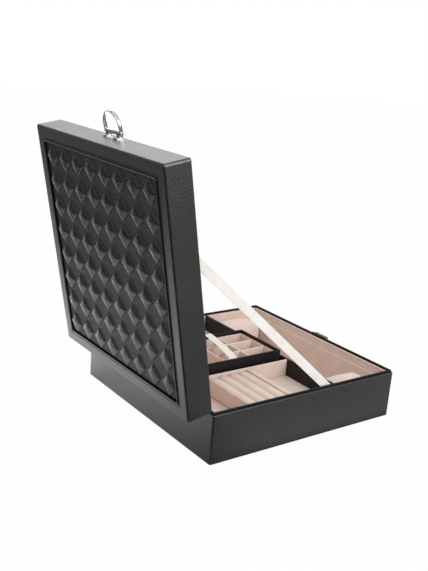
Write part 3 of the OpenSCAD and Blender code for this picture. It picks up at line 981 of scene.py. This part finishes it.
@dataclass
class RingBlock:
    """Foam rolls in velvet, side by side, with a slot between each two for
    rings, between two end boards."""

    rolls: int = 4
    gap: float = 0.4   # between two rolls
    rear: float = 1.0  # thickness of the rear end board
    front: float = 6.4
    bed: float = 2.0   # thickness of the board under the rolls
    r: float = 4.6     # rounding of a roll
    crown: float = 0.5
    edge: float = 0.8  # rounding of the boards

    def build(self) -> list[Object]:
        """Makes the rolls and the block that holds them.

        Returns:
            The pieces.
        """
        box = node_box("ring_bed")
        (_, y0, z0), (_, y1, z1) = box
        block = boards("ring_block", "base",
                       [cut(box, z1=z0 + self.bed),
                        cut(box, y1=y0 + self.front),
                        cut(box, y0=y1 - self.rear)], self.edge, "ring_bed")
        start = y0 + self.front
        pitch = (y1 - self.rear - start) / self.rolls
        spans = [cut(box, y0=start + i * pitch + self.gap / 2,
                     y1=start + (i + 1) * pitch - self.gap / 2,
                     z0=z0 + self.bed, z1=z1 - self.crown)
                 for i in range(self.rolls)]
        rolls = boards("ring_rolls_foam", "base", spans, self.r, "ring_rolls",
                       steps=5, middle=6, crown=self.crown)
        return [block, rolls]


@dataclass
class QuiltedPanel:
    """The lid's padded panel: rows of puffed diamonds on a field with fine
    seams between the tiles, rolled down along its edges."""

    half: float = 112.9  # half its side
    span: float = 113.7  # half the lattice that the tiles are on
    z0: float = 84.0     # the board under it
    base: float = 3.0    # height of the field over the board
    rise: float = 2.8    # of a puff over the field
    tiles: int = 8
    cells: int = 40      # grid steps across one tile
    share: float = 0.95  # diamond's half diagonal over half a tile
    lip: float = 0.32    # share of the rise that is at the edge
    lip_in: float = 0.2  # how far in, as a share, the edge is rounded
    seam: float = 0.08   # depth of the seams
    seam_w: float = 0.5  # their half width
    roll: float = 1.3    # radius of the rolled edge
    clear: float = 0.1   # from the roll's rows to the even grid
    tight: float = 8.0   # how soon up a puff its cloth is taut

    def puffs(self, x: np.ndarray, y: np.ndarray) -> np.ndarray:
        """How far each point is up its puff, from 0 to 1.

        With u and v from -1 to 1 across a tile, s = (u + v) / share,
        t = (u - v) / share and e = 1 - (s^8 + t^8)^(1/8), a diamond rises by
        lip * sqrt(1 - (1 - min(1, e / lip_in))^2) + (1 - lip) * e * (2 - e): a
        rounded edge, then an even crown.

        Args:
            x: places across the panel.
            y: places along it.

        Returns:
            The share of the rise at each.
        """
        tile = 2 * self.span / self.tiles
        u = 2 * ((x + self.span) / tile % 1) - 1
        v = 2 * ((y + self.span) / tile % 1) - 1
        s, t = (u + v) / self.share, (u - v) / self.share
        e = np.clip(1 - (s**8 + t**8) ** (1 / 8), 0, 1)
        edge = np.sqrt(1 - (1 - np.minimum(1, e / self.lip_in)) ** 2)
        return self.lip * edge + (1 - self.lip) * e * (2 - e)

    def heights(self, x: np.ndarray, y: np.ndarray) -> np.ndarray:
        """Height over the board: the puffs, less a Gaussian groove at the
        tiles' sides. Closer to the edge than the roll's radius r, by e, the
        panel drops by r - sqrt(r^2 - (r - e)^2).

        Args:
            x: places across the panel.
            y: places along it.

        Returns:
            The height at each.
        """
        tile = 2 * self.span / self.tiles
        puff = self.puffs(x, y)
        across, along = (x + self.span) % tile, (y + self.span) % tile
        side = np.minimum(np.minimum(across, along),
                          tile - np.maximum(across, along))
        groove = np.exp(-((side / self.seam_w) ** 2)) * (puff <= 0)
        rest = np.clip(self.half - np.maximum(np.abs(x), np.abs(y)), 0, self.roll)
        drop = self.roll - np.sqrt(self.roll**2 - (self.roll - rest) ** 2)
        return self.base + self.rise * puff - self.seam * groove - drop

    def build(self) -> list[Object]:
        """Makes the panel as a height field, closed by its sides and back.

        Returns:
            The pieces.
        """
        line = np.linspace(-self.span, self.span, self.tiles * self.cells + 1)
        edge = self.half - self.roll * (1 - np.cos(np.linspace(0, math.pi / 2, 6)))
        line = line[np.abs(line) < edge[-1] - self.clear]
        line = np.concatenate([-edge, line, edge[::-1]])
        n = len(line)
        x, y = np.meshgrid(line, line, indexing="ij")
        top = np.stack([x, y, self.z0 + self.heights(x, y)], -1).reshape(-1, 3)
        # the rim's point numbers, once round, anticlockwise from above
        i = np.arange(n)
        rim = np.concatenate([i * n, (n - 1) * n + i[1:], i[::-1][1:] * n + n - 1,
                              i[::-1][1:-1]])
        low = top[rim].copy()
        low[:, 2] = self.z0
        points = np.concatenate([top, low])
        below = np.arange(len(rim)) + len(top)
        sides = np.stack([below, np.roll(below, -1), np.roll(rim, -1), rim], 1)
        faces = [*grid_faces(n, n)[:, ::-1].tolist(), *sides.tolist(),
                 below[::-1].tolist()]
        piece = mesh_piece("quilted_panel", points, faces, QUILT, "lid",
                           "lid_quilt")
        taut = piece.data.attributes.new("taut", "FLOAT", "POINT")
        puff = np.clip(self.puffs(points[:, 0], points[:, 1]) * self.tight, 0, 1)
        taut.data.foreach_set("value", puff.astype(np.float32))
        return [piece]


@dataclass
class Lid:
    """The lid's covered walls, border, piping and lining."""

    inner: float = 126.0             # inner face of the walls
    outer: float = 130.0
    low: float = 58.9                # lower edge of the walls
    board: float = 1.2
    board_r: float = 0.55
    rim_z: float = 61.5              # lower edge of the linings
    ceiling: float = 80.2
    surround: float = 3.0            # thickness of the mirror's surround
    surround_r: float = 0.9
    glass: float = 85.1              # half opening round the mirror
    opening: float = 115.5           # half opening of the border
    top: float = 88.0                # top face
    back: float = 84.0               # underside of the border
    corner: float = 3.0              # radius of the upright corners
    roll: float = 2.0                # radius of the outer edge
    edge: float = 0.9                # radius of the walls' foot and the opening
    groove: tuple = (2.6, 2.1, 1.6)  # its lips and floor, from the opening
    groove_r: float = 0.12
    groove_depth: float = 0.8
    bead: float = 0.9                # radius of the piping
    bead_gap: float = 0.05           # between the piping and the border
    bead_up: float = 0.2             # the piping's middle over the top face

    def four(self, half: float, hole: float, low: float, high: float) -> list[Box]:
        """Places four boards round a square hole.

        Args:
            half: half the square round them.
            hole: half the hole.
            low: height of their lower faces.
            high: height of their upper faces.

        Returns:
            The front, rear, left and right board.
        """
        box = (-half, -half, low), (half, half, high)
        return [cut(box, y1=-hole), cut(box, y0=hole),
                cut(box, x1=-hole, y0=-hole, y1=hole),
                cut(box, x0=hole, y0=-hole, y1=hole)]

    def lining(self) -> list[Object]:
        """Makes the lid's four linings and its ceiling.

        Returns:
            The pieces.
        """
        w, z = self.inner, self.ceiling
        walls = self.four(w, w - self.board, self.rim_z, z)
        parts = {f"lid_lining_{way}": wall for way, wall in
                 zip(("front", "rear", "left", "right"), walls)}
        parts["lid_ceiling"] = cut(((-w, -w, z), (w, w, z + self.board)))
        return [boards(node + "_cover", "lid", [box], self.board_r, node)
                for node, box in parts.items()]

    def mirror_pad(self) -> Object:
        """Makes the padded surround of the mirror from four strips.

        Returns:
            The piece.
        """
        piece = boards("mirror_surround_pad", "lid",
                       self.four(self.inner - self.board, self.glass,
                                 self.ceiling - self.surround, self.ceiling),
                       self.surround_r, "mirror_surround")
        return piece

    def cover(self) -> Object:
        """Makes the covered walls and the border round the panel in one,
        with a fine groove along the border's inner edge.

        Returns:
            The piece.
        """
        i, o, u, top = self.inner, self.outer, self.opening, self.top
        outer, floor, inner = self.groove
        return Cover(corner=self.corner).piece(
            "lid_cover", "lid", COVER,
            [(i, self.low, 0), (o, self.low, self.edge), (o, top, self.roll),
             (u + outer, top, self.groove_r),
             (u + floor, top - self.groove_depth, 0),
             (u + inner, top, self.groove_r),
             (u, top, self.edge), (u, self.back, 0), (i, self.back, 0)],
            "lid_front", "lid_rear", "lid_left", "lid_right", "lid_border")

    def piping(self) -> Object:
        """Makes the bead inside the border: a circle carried round.

        Returns:
            The piece.
        """
        r = self.bead
        a = np.linspace(0, TURN, 16, endpoint=False)
        section = np.stack([self.opening - r - self.bead_gap + r * np.cos(a),
                            self.top + self.bead_up + r * np.sin(a)], 1)
        ring = Cover(side=self.opening, corner=self.corner).around(section)
        return mesh_piece("lid_piping_bead", *ring, COVER, "lid", "lid_piping")

    def build(self) -> list[Object]:
        """Dresses the shell, and makes the panel and the linings.

        Returns:
            The pieces.
        """
        dress(BOARD, "lid_board")
        dress(MIRROR, "mirror")
        return [self.cover(), self.piping(), *QuiltedPanel().build(),
                *self.lining(), self.mirror_pad()]


@dataclass
class ScrewHead:
    """A domed screw head with a cross recess."""

    radius: float = 1.5
    rise: float = 0.6
    rings: int = 9
    turns: int = 32
    full: float = 0.96   # how nearly the dome comes down at its edge
    slot: float = 1 / 6  # half width of the recess, as a share
    reach: float = 0.62  # how far out it goes, as a share
    sunk: float = 0.35   # its depth as a share of the rise
    middle: float = 0.6  # height of the middle as a share of the rise

    def surface(self, at: tuple, normal: tuple) -> Shape:
        """A dome whose height is rise * sqrt(1 - full * t^2) at t of the
        radius, less a recess where |x| or |y| is under slot * radius.

        Args:
            at: middle of its underside.
            normal: the way it faces, across x.

        Returns:
            Points and faces.
        """
        t = np.linspace(1, 0, self.rings)[:, None]
        a = np.linspace(0, TURN, self.turns, endpoint=False)[None]
        x, y = t * self.radius * np.cos(a), t * self.radius * np.sin(a)
        z = self.rise * np.sqrt(1 - t**2 * self.full) + 0 * a
        slot = np.minimum(abs(x), abs(y)) < self.radius * self.slot
        z = z - self.sunk * self.rise * (slot & (t < self.reach))
        grid = np.stack([x, y, z], -1)[:-1].reshape(-1, 3)
        low = np.stack([x[0], y[0], 0 * x[0]], -1)
        local = np.concatenate([low, grid, [[0, 0, self.middle * self.rise]]])
        side = (1.0, 0.0, 0.0)
        points = np.array(at) + local @ np.stack(
            [side, np.cross(normal, side), normal])
        faces = grid_faces(self.rings, self.turns, wrap=True).tolist()
        k = np.arange(self.turns)
        last = (self.rings - 1) * self.turns
        tip = np.stack([last + k, last + (k + 1) % self.turns,
                        0 * k + len(local) - 1], 1)
        return points, [*faces, *tip.tolist(), k[::-1].tolist()]


@dataclass
class Hardware:
    """The hinges, the clasp and the catch, with their screws."""

    hinge_x: float = 72.0
    hinge_y: float = 130.8   # face of the hinges' leaves
    hinge_drop: float = 8.2  # screws' distance from the axis
    hinge_pitch: float = 20.0
    plate_y: float = -131.2  # face of the clasp's and the catch's plates
    clasp_x: float = 11.0    # screws' distance from the middle
    clasp_z: float = 67.2
    catch_x: float = 12.0
    catch_z: float = 54.2
    pin_y: float = -135.0
    pin_z: float = 63.0
    loop_w: float = 4.0      # width of the strip
    loop_t: float = 1.5      # its thickness
    loop_r: float = 16.0     # outer radius of the arch
    loop_l: float = 22.0     # from the pin to the arch's top
    loop_lean: float = 6.0   # degrees
    arch_points: int = 41
    strip_points: int = 28   # round the strip
    eye_edge: float = 0.3    # rounding of the eyes' edges
    eye_points: int = 32
    sharp: float = 50.0      # degrees past which an edge shades sharp

    def screws(self, name: str, body: str, xs: tuple, y: float,
               z: float) -> Object:
        """Makes a row of screw heads, facing away from the box, as one piece.

        Args:
            name: its name.
            body: the body that it rides on.
            xs: the screws' places across the box.
            y: the face that they are on.
            z: their height.

        Returns:
            The object.
        """
        normal = (0.0, math.copysign(1, y), 0.0)
        heads = [ScrewHead().surface((x, y, z), normal) for x in xs]
        return mesh_piece(name, *join(heads), CHROME, body)

    def loop(self) -> Object:
        """The clasp's loop: a crowned strip bent to an arch, with an eye at
        each end. Across the strip, z goes from -w to w and its half thickness
        is t * sqrt(1 - |z / w|^2.5), with rolled edges.

        Returns:
            The piece.
        """
        w, t = self.loop_w / 2, self.loop_t / 2
        r, leg = self.loop_r - t, self.loop_l - self.loop_r
        a = np.linspace(0, math.pi, self.arch_points)
        # the arch, with two points down each leg
        way = np.concatenate([[[1, 0]] * 2,
                              np.stack([np.cos(a), np.sin(a)], 1),
                              [[-1, 0]] * 2])
        drop = np.array([0, leg / 2, *[leg] * len(a), leg / 2, 0])
        flat = r * way + np.stack([0 * drop, drop], 1)
        b = np.linspace(0, TURN, self.strip_points, endpoint=False)
        half = t * np.sqrt(np.clip(1 - abs(np.cos(b)) ** 2.5, 0, 1))
        section = np.stack([half * np.sign(np.sin(b)), w * np.cos(b)], 1)
        zero = np.zeros((len(flat), 1))
        strip = sweep(section, np.hstack([flat, zero]), np.hstack([way, zero]),
                      np.tile([0.0, 0.0, 1.0], (len(flat), 1)))
        points, faces = join([strip, self.eye(-r, w, t), self.eye(r, w, t)])
        # out of its plane, tipped by its lean, onto the pin
        lean = math.radians(self.loop_lean)
        c, s = math.cos(lean), math.sin(lean)
        x, up, out = points.T
        points = np.stack([x, self.pin_y - up * c + out * s,
                           self.pin_z + up * s + out * c], 1)
        piece = mesh_piece("clasp_loop_strip", points, faces, CHROME,
                           "clasp_loop", "clasp_loop")
        piece.data.set_sharp_from_angle(angle=math.radians(self.sharp))
        return piece

    def eye(self, x: float, r: float, t: float) -> Shape:
        """A flat round eye about the x axis: three rings to each rounding.

        Args:
            x: its middle.
            r: its radius.
            t: half its thickness.

        Returns:
            Points and faces.
        """
        h, n = self.eye_edge, self.eye_points
        a = np.linspace(0, TURN, n, endpoint=False)
        rings = [(-t, r - h), (-t + 0.3 * h, r - 0.3 * h), (-t + h, r),
                 (t - h, r), (t - 0.3 * h, r - 0.3 * h), (t, r - h)]
        points = [np.stack([np.full(n, x + at), q * np.cos(a), q * np.sin(a)], 1)
                  for at, q in rings]
        return np.concatenate(points), tube_faces(len(rings), n)

    def build(self) -> list[Object]:
        """Dresses the metal, and makes the loop and the screws.

        Returns:
            The pieces.
        """
        dress(CHROME, "hinge_leaf_base", "hinge_leaf_lid", "hinge_pins",
              "catch_plate", "catch_hook", "clasp_bracket", "clasp_pin")
        z = OPENED.axis[2]
        hinges = [s * self.hinge_x + k * self.hinge_pitch / 2
                  for s in (-1, 1) for k in (-1, 1)]
        clasp, catch = ((-x, x) for x in (self.clasp_x, self.catch_x))
        rows = (
            ("hinge_screws_base", "base", hinges, self.hinge_y,
             z - self.hinge_drop),
            ("hinge_screws_lid", "lid", hinges, self.hinge_y,
             z + self.hinge_drop),
            ("clasp_screws", "lid", clasp, self.plate_y, self.clasp_z),
            ("catch_screws", "base", catch, self.plate_y, self.catch_z))
        return [self.loop(), *(self.screws(*row) for row in rows)]


@dataclass
class Tray:
    """The lift-out tray: dark walls, velvet liner and dividers, and its
    lifting ribbon."""

    ribbon_w: float = 10.5
    ribbon_t: float = 0.5
    wall: float = 2.0
    half: float = 38.0      # half the tray's width
    gap: float = 0.3        # between the ribbon and a wall
    drop: float = 3.7       # how far down inside the left wall it starts
    rise: float = 4.0       # how far over the walls it arches
    tail: float = 8.0       # how far down outside the right wall it ends
    ribbon_y: float = 35.5  # its left end
    skew: float = 13.0      # how much nearer the front its right end is
    rows: int = 90          # rows of points along it
    liner: float = 2.2
    liner_r: float = 0.7
    divider: float = 2.5
    divider_r: float = 0.8

    def dividers(self) -> list[Object]:
        """Makes the liner, the pad and the boards between the cells.

        Returns:
            The pieces.
        """
        box = node_box("tray_liner")
        (x0, y0, _), (x1, y1, _) = box
        t, d = self.liner, self.divider
        inside = {"x0": x0 + t, "x1": x1 - t}
        ring = [cut(box, x1=x0 + t), cut(box, x0=x1 - t),
                cut(box, y1=y0 + t, **inside), cut(box, y0=y1 - t, **inside)]
        liner = boards("tray_liner_cover", "tray", ring, self.liner_r,
                       "tray_liner")
        pad = boards("tray_floor_pad", "tray", [node_box("tray_pad")],
                     self.liner_r, "tray_pad")
        made = [liner, pad]
        for way, node, axis in (("along", "tray_long_dividers", 0),
                                ("across", "tray_cross_dividers", 1)):
            box, letter = node_box(node), "xy"[axis]
            pair = [cut(box, **{letter + "1": box[0][axis] + d}),
                    cut(box, **{letter + "0": box[1][axis] - d})]
            made.append(boards("tray_boards_" + way, "tray", pair,
                               self.divider_r, node))
        return made

    def route(self) -> np.ndarray:
        """The ribbon's middle line: up inside the left wall, over the cells,
        and down outside the right wall, at shares of the width and the rise.

        Returns:
            n by 3.
        """
        z = node_box("tray_front")[1][2]
        xl = -self.half + self.wall + self.gap + self.ribbon_t / 2
        xr = self.half + self.gap + self.ribbon_t / 2
        w, r, t = xr - xl, self.rise, self.ribbon_t
        xz = np.array([
            [xl, z - self.drop + self.gap], [xl + t / 2, z - 0.25 * r],
            [xl + 0.033 * w, z + 0.15 * r], [xl + 0.19 * w, z + 0.5 * r],
            [xl + 0.4 * w, z + 0.85 * r], [xl + 0.65 * w, z + r],
            [xr - 0.13 * w, z + 0.95 * r], [xr - 0.05 * w, z + 0.75 * r],
            [xr - 0.8 * t, z + 0.225 * r], [xr, z - 0.375 * r],
            [xr, z - self.tail]])
        y = self.ribbon_y - self.skew * (xz[:, 0] + self.half) / (2 * self.half)
        return np.stack([xz[:, 0], y, xz[:, 1]], 1)

    def ribbon(self) -> Object:
        """Makes the lifting ribbon as a flat profile carried along the route.

        Returns:
            The piece.
        """
        key = self.route()
        step = np.linalg.norm(np.diff(key, axis=0), axis=1)
        at = np.concatenate([[0], np.cumsum(step)])
        s = np.unique(np.concatenate([np.linspace(0, at[-1], self.rows), at]))
        line = np.stack([np.interp(s, at, key[:, k]) for k in range(3)], 1)
        run = unit(np.gradient(line, s, axis=0))
        side = np.tile([0.0, 1.0, 0.0], (len(s), 1))
        up = unit(np.cross(run, side))
        profile = flat_profile(self.ribbon_w, self.ribbon_t)
        piece = mesh_piece("tray_lifting_ribbon",
                           *sweep(profile, line, side, up), SATIN, "tray",
                           "tray_ribbon", uv=ribbon_uv(profile, s))
        return piece

    def build(self) -> list[Object]:
        """Dresses the walls and makes what is in the tray.

        Returns:
            The pieces.
        """
        dress(TRIM, "tray_base", "tray_front", "tray_rear", "tray_left",
              "tray_right")
        return [*self.dividers(), self.ribbon()]


@dataclass
class StayRibbons:
    """The two satin ribbons that stop the lid."""

    width: float = 10.0
    thick: float = 0.5
    plane: float = 125.4  # distance from the middle of the box
    base_y: float = -28.0
    base_z: float = 56.02
    lid_s: float = 164.0  # from the hinge side, up the lid
    out: float = 1.4      # the axis behind the wall
    lid_h: float = 2.73   # from the axis's plane into the lid
    rows: int = 80

    def build(self) -> list[Object]:
        """Makes each ribbon, pulled straight from the base to the lid, its
        ends cut along the edges that hold them: a point is
        (1 - t) * foot(w) + t * head(w), with w across the ribbon.

        Returns:
            The pieces.
        """
        c, s = math.cos(OPENED.angle), math.sin(OPENED.angle)
        up_lid, into_lid = np.array([-c, s]), np.array([s, c])
        foot = np.array([self.base_y, self.base_z])
        head = (OPENED.axis[1:] + (self.lid_s + self.out) * up_lid
                + self.lid_h * into_lid)
        length = float(np.linalg.norm(head - foot))
        d = (head - foot) / length
        half = self.width / 2
        foot_cut = half / d[1]
        head_cut = half / abs(d[0] * up_lid[1] - d[1] * up_lid[0])
        profile = flat_profile(self.width, self.thick)
        w = profile[:, :1] / half
        t = np.linspace(0, 1, self.rows)
        starts = foot + w * foot_cut * np.array([1.0, 0])
        ends = head - w * head_cut * up_lid
        yz = (1 - t)[:, None, None] * starts + t[:, None, None] * ends
        made = []
        for side in Side:
            plane = side.value * self.plane
            x = plane + np.tile(profile[:, 1], (self.rows, 1))
            points = np.concatenate([x[..., None], yz], -1).reshape(-1, 3)
            name = side.node("stay_ribbon")
            piece = mesh_piece(name + "_satin", points,
                               tube_faces(self.rows, len(profile)), SATIN,
                               None, name, uv=ribbon_uv(profile, t * length))
            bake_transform(piece)
            made.append(piece)
        return made


@dataclass
class Pillows:
    """The two loose cushions: velvet cases over fibre, blown up from a
    slightly smaller shape."""

    start_gap: float = 0.9  # how much smaller the case starts
    radius: float = 10.0    # rounding of its edges
    crown: float = 3.0      # rise of the top's middle
    longer: float = 6.5     # how far the stuffing carries it forwards
    higher: float = 3.4     # and up
    voxel: float = 2.6
    cap: float = 1.4        # furthest that a point may move
    pressure: float = 4.0
    frames: int = 20
    seam: float = 0.5       # depth of the seam round the middle
    seam_w: float = 1.5     # its half width

    def blow_up(self, piece: Object) -> None:
        """Runs the cloth on the remeshed case, with pressure and no gravity,
        and keeps each point's move up to the cap.

        Args:
            piece: the case.
        """
        remesh = piece.modifiers.new("remesh", "REMESH")
        remesh.mode = "VOXEL"
        remesh.voxel_size = self.voxel * MM
        self.apply(piece)
        before = self.points(piece)
        cloth = piece.modifiers.new("cloth", "CLOTH").settings
        cloth.use_pressure = True
        cloth.uniform_pressure_force = self.pressure
        cloth.effector_weights.gravity = 0
        cloth.quality = 6
        for number in range(1, self.frames + 1):
            bpy.context.scene.frame_set(number)
        self.apply(piece)
        bpy.context.scene.frame_set(1)
        move = self.points(piece) - before
        size = np.linalg.norm(move, axis=1, keepdims=True)
        move *= np.minimum(1, self.cap * MM / np.maximum(size, TINY))
        self.move_to(piece, before + move)

    def points(self, piece: Object) -> np.ndarray:
        """Reads a mesh's points.

        Args:
            piece: the piece.

        Returns:
            The points in metres, n by 3.
        """
        p = np.empty(len(piece.data.vertices) * 3)
        piece.data.vertices.foreach_get("co", p)
        return p.reshape(-1, 3)

    def move_to(self, piece: Object, points: np.ndarray) -> None:
        """Sets a mesh's points, in metres."""
        piece.data.vertices.foreach_set("co", points.ravel())
        piece.data.update()

    def apply(self, piece: Object) -> None:
        """Makes a piece's modifiers part of its mesh.

        Args:
            piece: the piece.
        """
        deps = bpy.context.evaluated_depsgraph_get()
        mesh = bpy.data.meshes.new_from_object(piece.evaluated_get(deps))
        piece.modifiers.clear()
        piece.data = mesh

    def pillow(self, side: Side) -> Object:
        """Makes one pillow where its solid is.

        Args:
            side: which one.

        Returns:
            The object.
        """
        node = side.node("pillow")
        low, high = node_box(node)
        low[1] -= self.longer
        high[2] += self.higher
        case = rounded_board(low + self.start_gap, high - self.start_gap,
                             self.radius, steps=4, middle=6, crown=self.crown)
        piece = mesh_piece(node + "_velvet", *case, VELVET, node, node)
        self.blow_up(piece)
        # the seam: a Gaussian groove round the middle
        co = self.points(piece) / MM
        middle = (low + high) / 2
        pull = self.seam * np.exp(-(((co[:, 2:] - middle[2]) / self.seam_w) ** 2))
        co[:, :2] -= unit(co[:, :2] - middle[:2]) * pull
        self.move_to(piece, co * MM)
        piece.data.polygons.foreach_set(
            "use_smooth", np.full(len(piece.data.polygons), True))
        smooth = piece.modifiers.new("smooth", "SUBSURF")
        smooth.levels = smooth.render_levels = 1
        return piece

    def build(self) -> list[Object]:
        """Makes both pillows."""
        return [self.pillow(side) for side in Side]


@dataclass
class Studio:
    """The floor, the light and the camera. Lengths in metres."""

    eye: tuple = (-0.7392, 0.6005, 0.4271)
    ahead: tuple = (0.76449, -0.57485, -0.29170)
    right: tuple = (-0.58064, -0.81062, 0.07572)
    above: tuple = (0.27998, -0.11149, 0.95350)
    lens: float = 53.45        # mm, as the sensor
    sensor: float = 36.0
    clip: tuple = (0.01, 20.0)
    floor_half: float = 4.0
    floor_tone: str = "e6e6e6"
    floor_white: float = 0.98  # how nearly the floor is white to the camera
    fill: float = 0.72         # strength of the surrounding light
    # painted reflections: patches of the floor that glow only in gloss, brighter
    # than white in places, for highlights on the leather: (place, level) pairs, by x, y
    patches: tuple = (
        (((-0.19, 0.0), (0.08, 1.0), (0.25, 1.0), (0.45, 0.8)),     # behind
         ((0.12, 0.6), (0.22, 1.0), (0.36, 0.46), (0.52, 0.07))),
        (((0.12, 0.0), (0.2, 0.3), (0.28, 1.0), (0.55, 0.5)),       # right
         ((0.13, 5.0), (0.19, 0.0))),
        (((-0.5, 0.2), (-0.146, 0.25), (-0.131, 0.0)),              # left
         ((0.05, 1.0), (0.13, 0.0))))
    # painted reflection: steps of the surround, seen in gloss only: axis, where from and to,
    # level there
    turns: tuple = (("Y", -0.35, 0.1, 0.25, 0.26),  # from front to rear
                    ("X", -0.1, -0.4, 0.0, 1.0),    # to the left
                    ("Z", 0.12, 0.3, 0.0, 1.0),     # above the horizon
                    ("Z", 0.8, 0.95, 0.0, 1.0))     # overhead
    white: float = 0.9  # level overhead and to the left
    # name, place, watts and size of each lamp, and the point that they face
    lamps: tuple = (("key", (-1.4, -0.35, 0.95), 10.0, 1.0),
                    ("back", (1.15, -0.45, 1.04), 3.0, 0.9))
    aim: tuple = (0, 0, 0.1)

    def camera(self) -> None:
        """Places the camera."""
        data = bpy.data.cameras.new("camera")
        data.lens, data.sensor_width = self.lens, self.sensor
        data.clip_start, data.clip_end = self.clip
        camera = put("camera", data)
        turn = Matrix((self.right, self.above, [-c for c in self.ahead]))
        camera.matrix_world = (Matrix.Translation(Vector(self.eye))
                               @ turn.transposed().to_4x4())
        bpy.context.scene.camera = camera

    def largest(self, tree: NodeTree, *values: Any) -> Node:
        """Takes the largest of several values.

        Args:
            tree: the node tree.
            values: sockets or nodes.

        Returns:
            The node that gives it.
        """
        top = values[0]
        for value in values[1:]:
            top = add_node(tree, "Math", {0: top, 1: value},
                           operation="MAXIMUM")
        return top

    def floor(self) -> None:
        """Makes a pale floor that shows white to the camera, glows in gloss as
        painted reflections, brighter than white in patches and dim elsewhere,
        and keeps a faint shadow."""
        mat = bpy.data.materials.new("studio_floor")
        tree = empty_tree(mat)
        rays = add_node(tree, "LightPath").outputs
        seen = self.largest(tree, rays["Is Camera Ray"], rays["Is Glossy Ray"],
                            rays["Is Transmission Ray"])
        part = add_node(tree, "Math", {0: seen, 1: self.floor_white},
                        operation="MULTIPLY")
        pale = add_node(tree, "BsdfDiffuse", {"Color": linear(self.floor_tone)})
        # painted reflection: glossy rays see the floor glow at its patches' level
        glow = add_node(tree, "Mix", {0: rays["Is Camera Ray"],
                                      2: self.gloss(tree), 3: 1.0})
        white = add_node(tree, "Emission", {"Color": WHITE, "Strength": glow})
        mix = add_node(tree, "MixShader", {0: part, 1: pale, 2: white})
        add_node(tree, "OutputMaterial", {"Surface": mix})
        mesh = bpy.data.meshes.new("floor")
        s = self.floor_half
        mesh.from_pydata([(-s, -s, 0), (s, -s, 0), (s, s, 0), (-s, s, 0)], [],
                         [(0, 1, 2, 3)])
        mesh.materials.append(mat)
        put("floor", mesh)

    def gloss(self, tree: NodeTree) -> Node:
        """Brightness of the floor in gloss, a painted reflection: the sum of its
        patches, each a broken line along x times one along y.

        Args:
            tree: the node tree.

        Returns:
            The node that gives it.
        """
        at = add_node(tree, "TexCoord").outputs["Object"]
        place = add_node(tree, "SeparateXYZ", {0: at}).outputs
        total: Any = 0.0
        for by_x, by_y in self.patches:
            total = add_node(tree, "Math", {
                0: broken_line(tree, place["X"], by_x),
                1: broken_line(tree, place["Y"], by_y), 2: total},
                operation="MULTIPLY_ADD")
        return total

    def world(self) -> None:
        """A white surround that lights the box evenly. In gloss only it shows a
        painted reflection: white overhead and high to the left, and else dim."""
        world = bpy.data.worlds.new("surround")
        bpy.context.scene.world = world
        tree = empty_tree(world)
        rays = add_node(tree, "LightPath").outputs
        seen = self.largest(tree, rays["Is Camera Ray"],
                            rays["Is Transmission Ray"])
        level = add_node(tree, "MapRange", {
            "Value": seen, "To Min": self.fill, "To Max": 1.0})
        way = add_node(tree, "SeparateXYZ", {
            0: add_node(tree, "TexCoord").outputs["Generated"]}).outputs
        ahead, left, high, over = (
            add_node(tree, "MapRange", {
                "Value": way[axis], "From Min": a, "From Max": b,
                "To Min": low, "To Max": top}, interpolation_type="SMOOTHSTEP")
            for axis, a, b, low, top in self.turns)
        side = add_node(tree, "Math", {0: left, 1: high}, operation="MULTIPLY")
        # painted reflection: seen only by glossy rays, while diffuse light stays at the even
        # fill
        shine = add_node(tree, "Mix", {
            0: self.largest(tree, side, over), 2: ahead, 3: self.white})
        gloss = add_node(tree, "Mix", {
            0: rays["Is Glossy Ray"], 2: level, 3: shine})
        sky = add_node(tree, "Background", {"Color": WHITE, "Strength": gloss})
        add_node(tree, "OutputWorld", {"Surface": sky})

    def lamp(self, name: str, at: tuple, watts: float, size: float) -> None:
        """Adds one soft square lamp that faces the box.

        Args:
            name: its name.
            at: its place.
            watts: its power.
            size: its side.
        """
        data = bpy.data.lights.new(name, "AREA")
        data.energy = watts
        data.size = size
        way = (Vector(self.aim) - Vector(at)).to_track_quat("-Z", "Y")
        put(name, data).matrix_world = (Matrix.Translation(Vector(at))
                                        @ way.to_matrix().to_4x4())

    def build(self) -> None:
        """Sets the whole stage."""
        self.camera()
        self.floor()
        self.world()
        for lamp in self.lamps:
            self.lamp(*lamp)
        bpy.context.scene.view_settings.view_transform = "Standard"


def main() -> None:
    """Builds the box in order and reports each piece."""
    logging.basicConfig(level=logging.INFO, format="%(message)s")
    Studio().build()
    for part in (BoxShell(), BaseLining(), RingBlock(), Lid(), Hardware(),
                 Tray(), StayRibbons(), Pillows()):
        for piece in part.build():
            log.info("%s: %s, %d faces", type(part).__name__, piece.name,
                     len(piece.data.polygons))


if __name__ == "__main__":
    main()
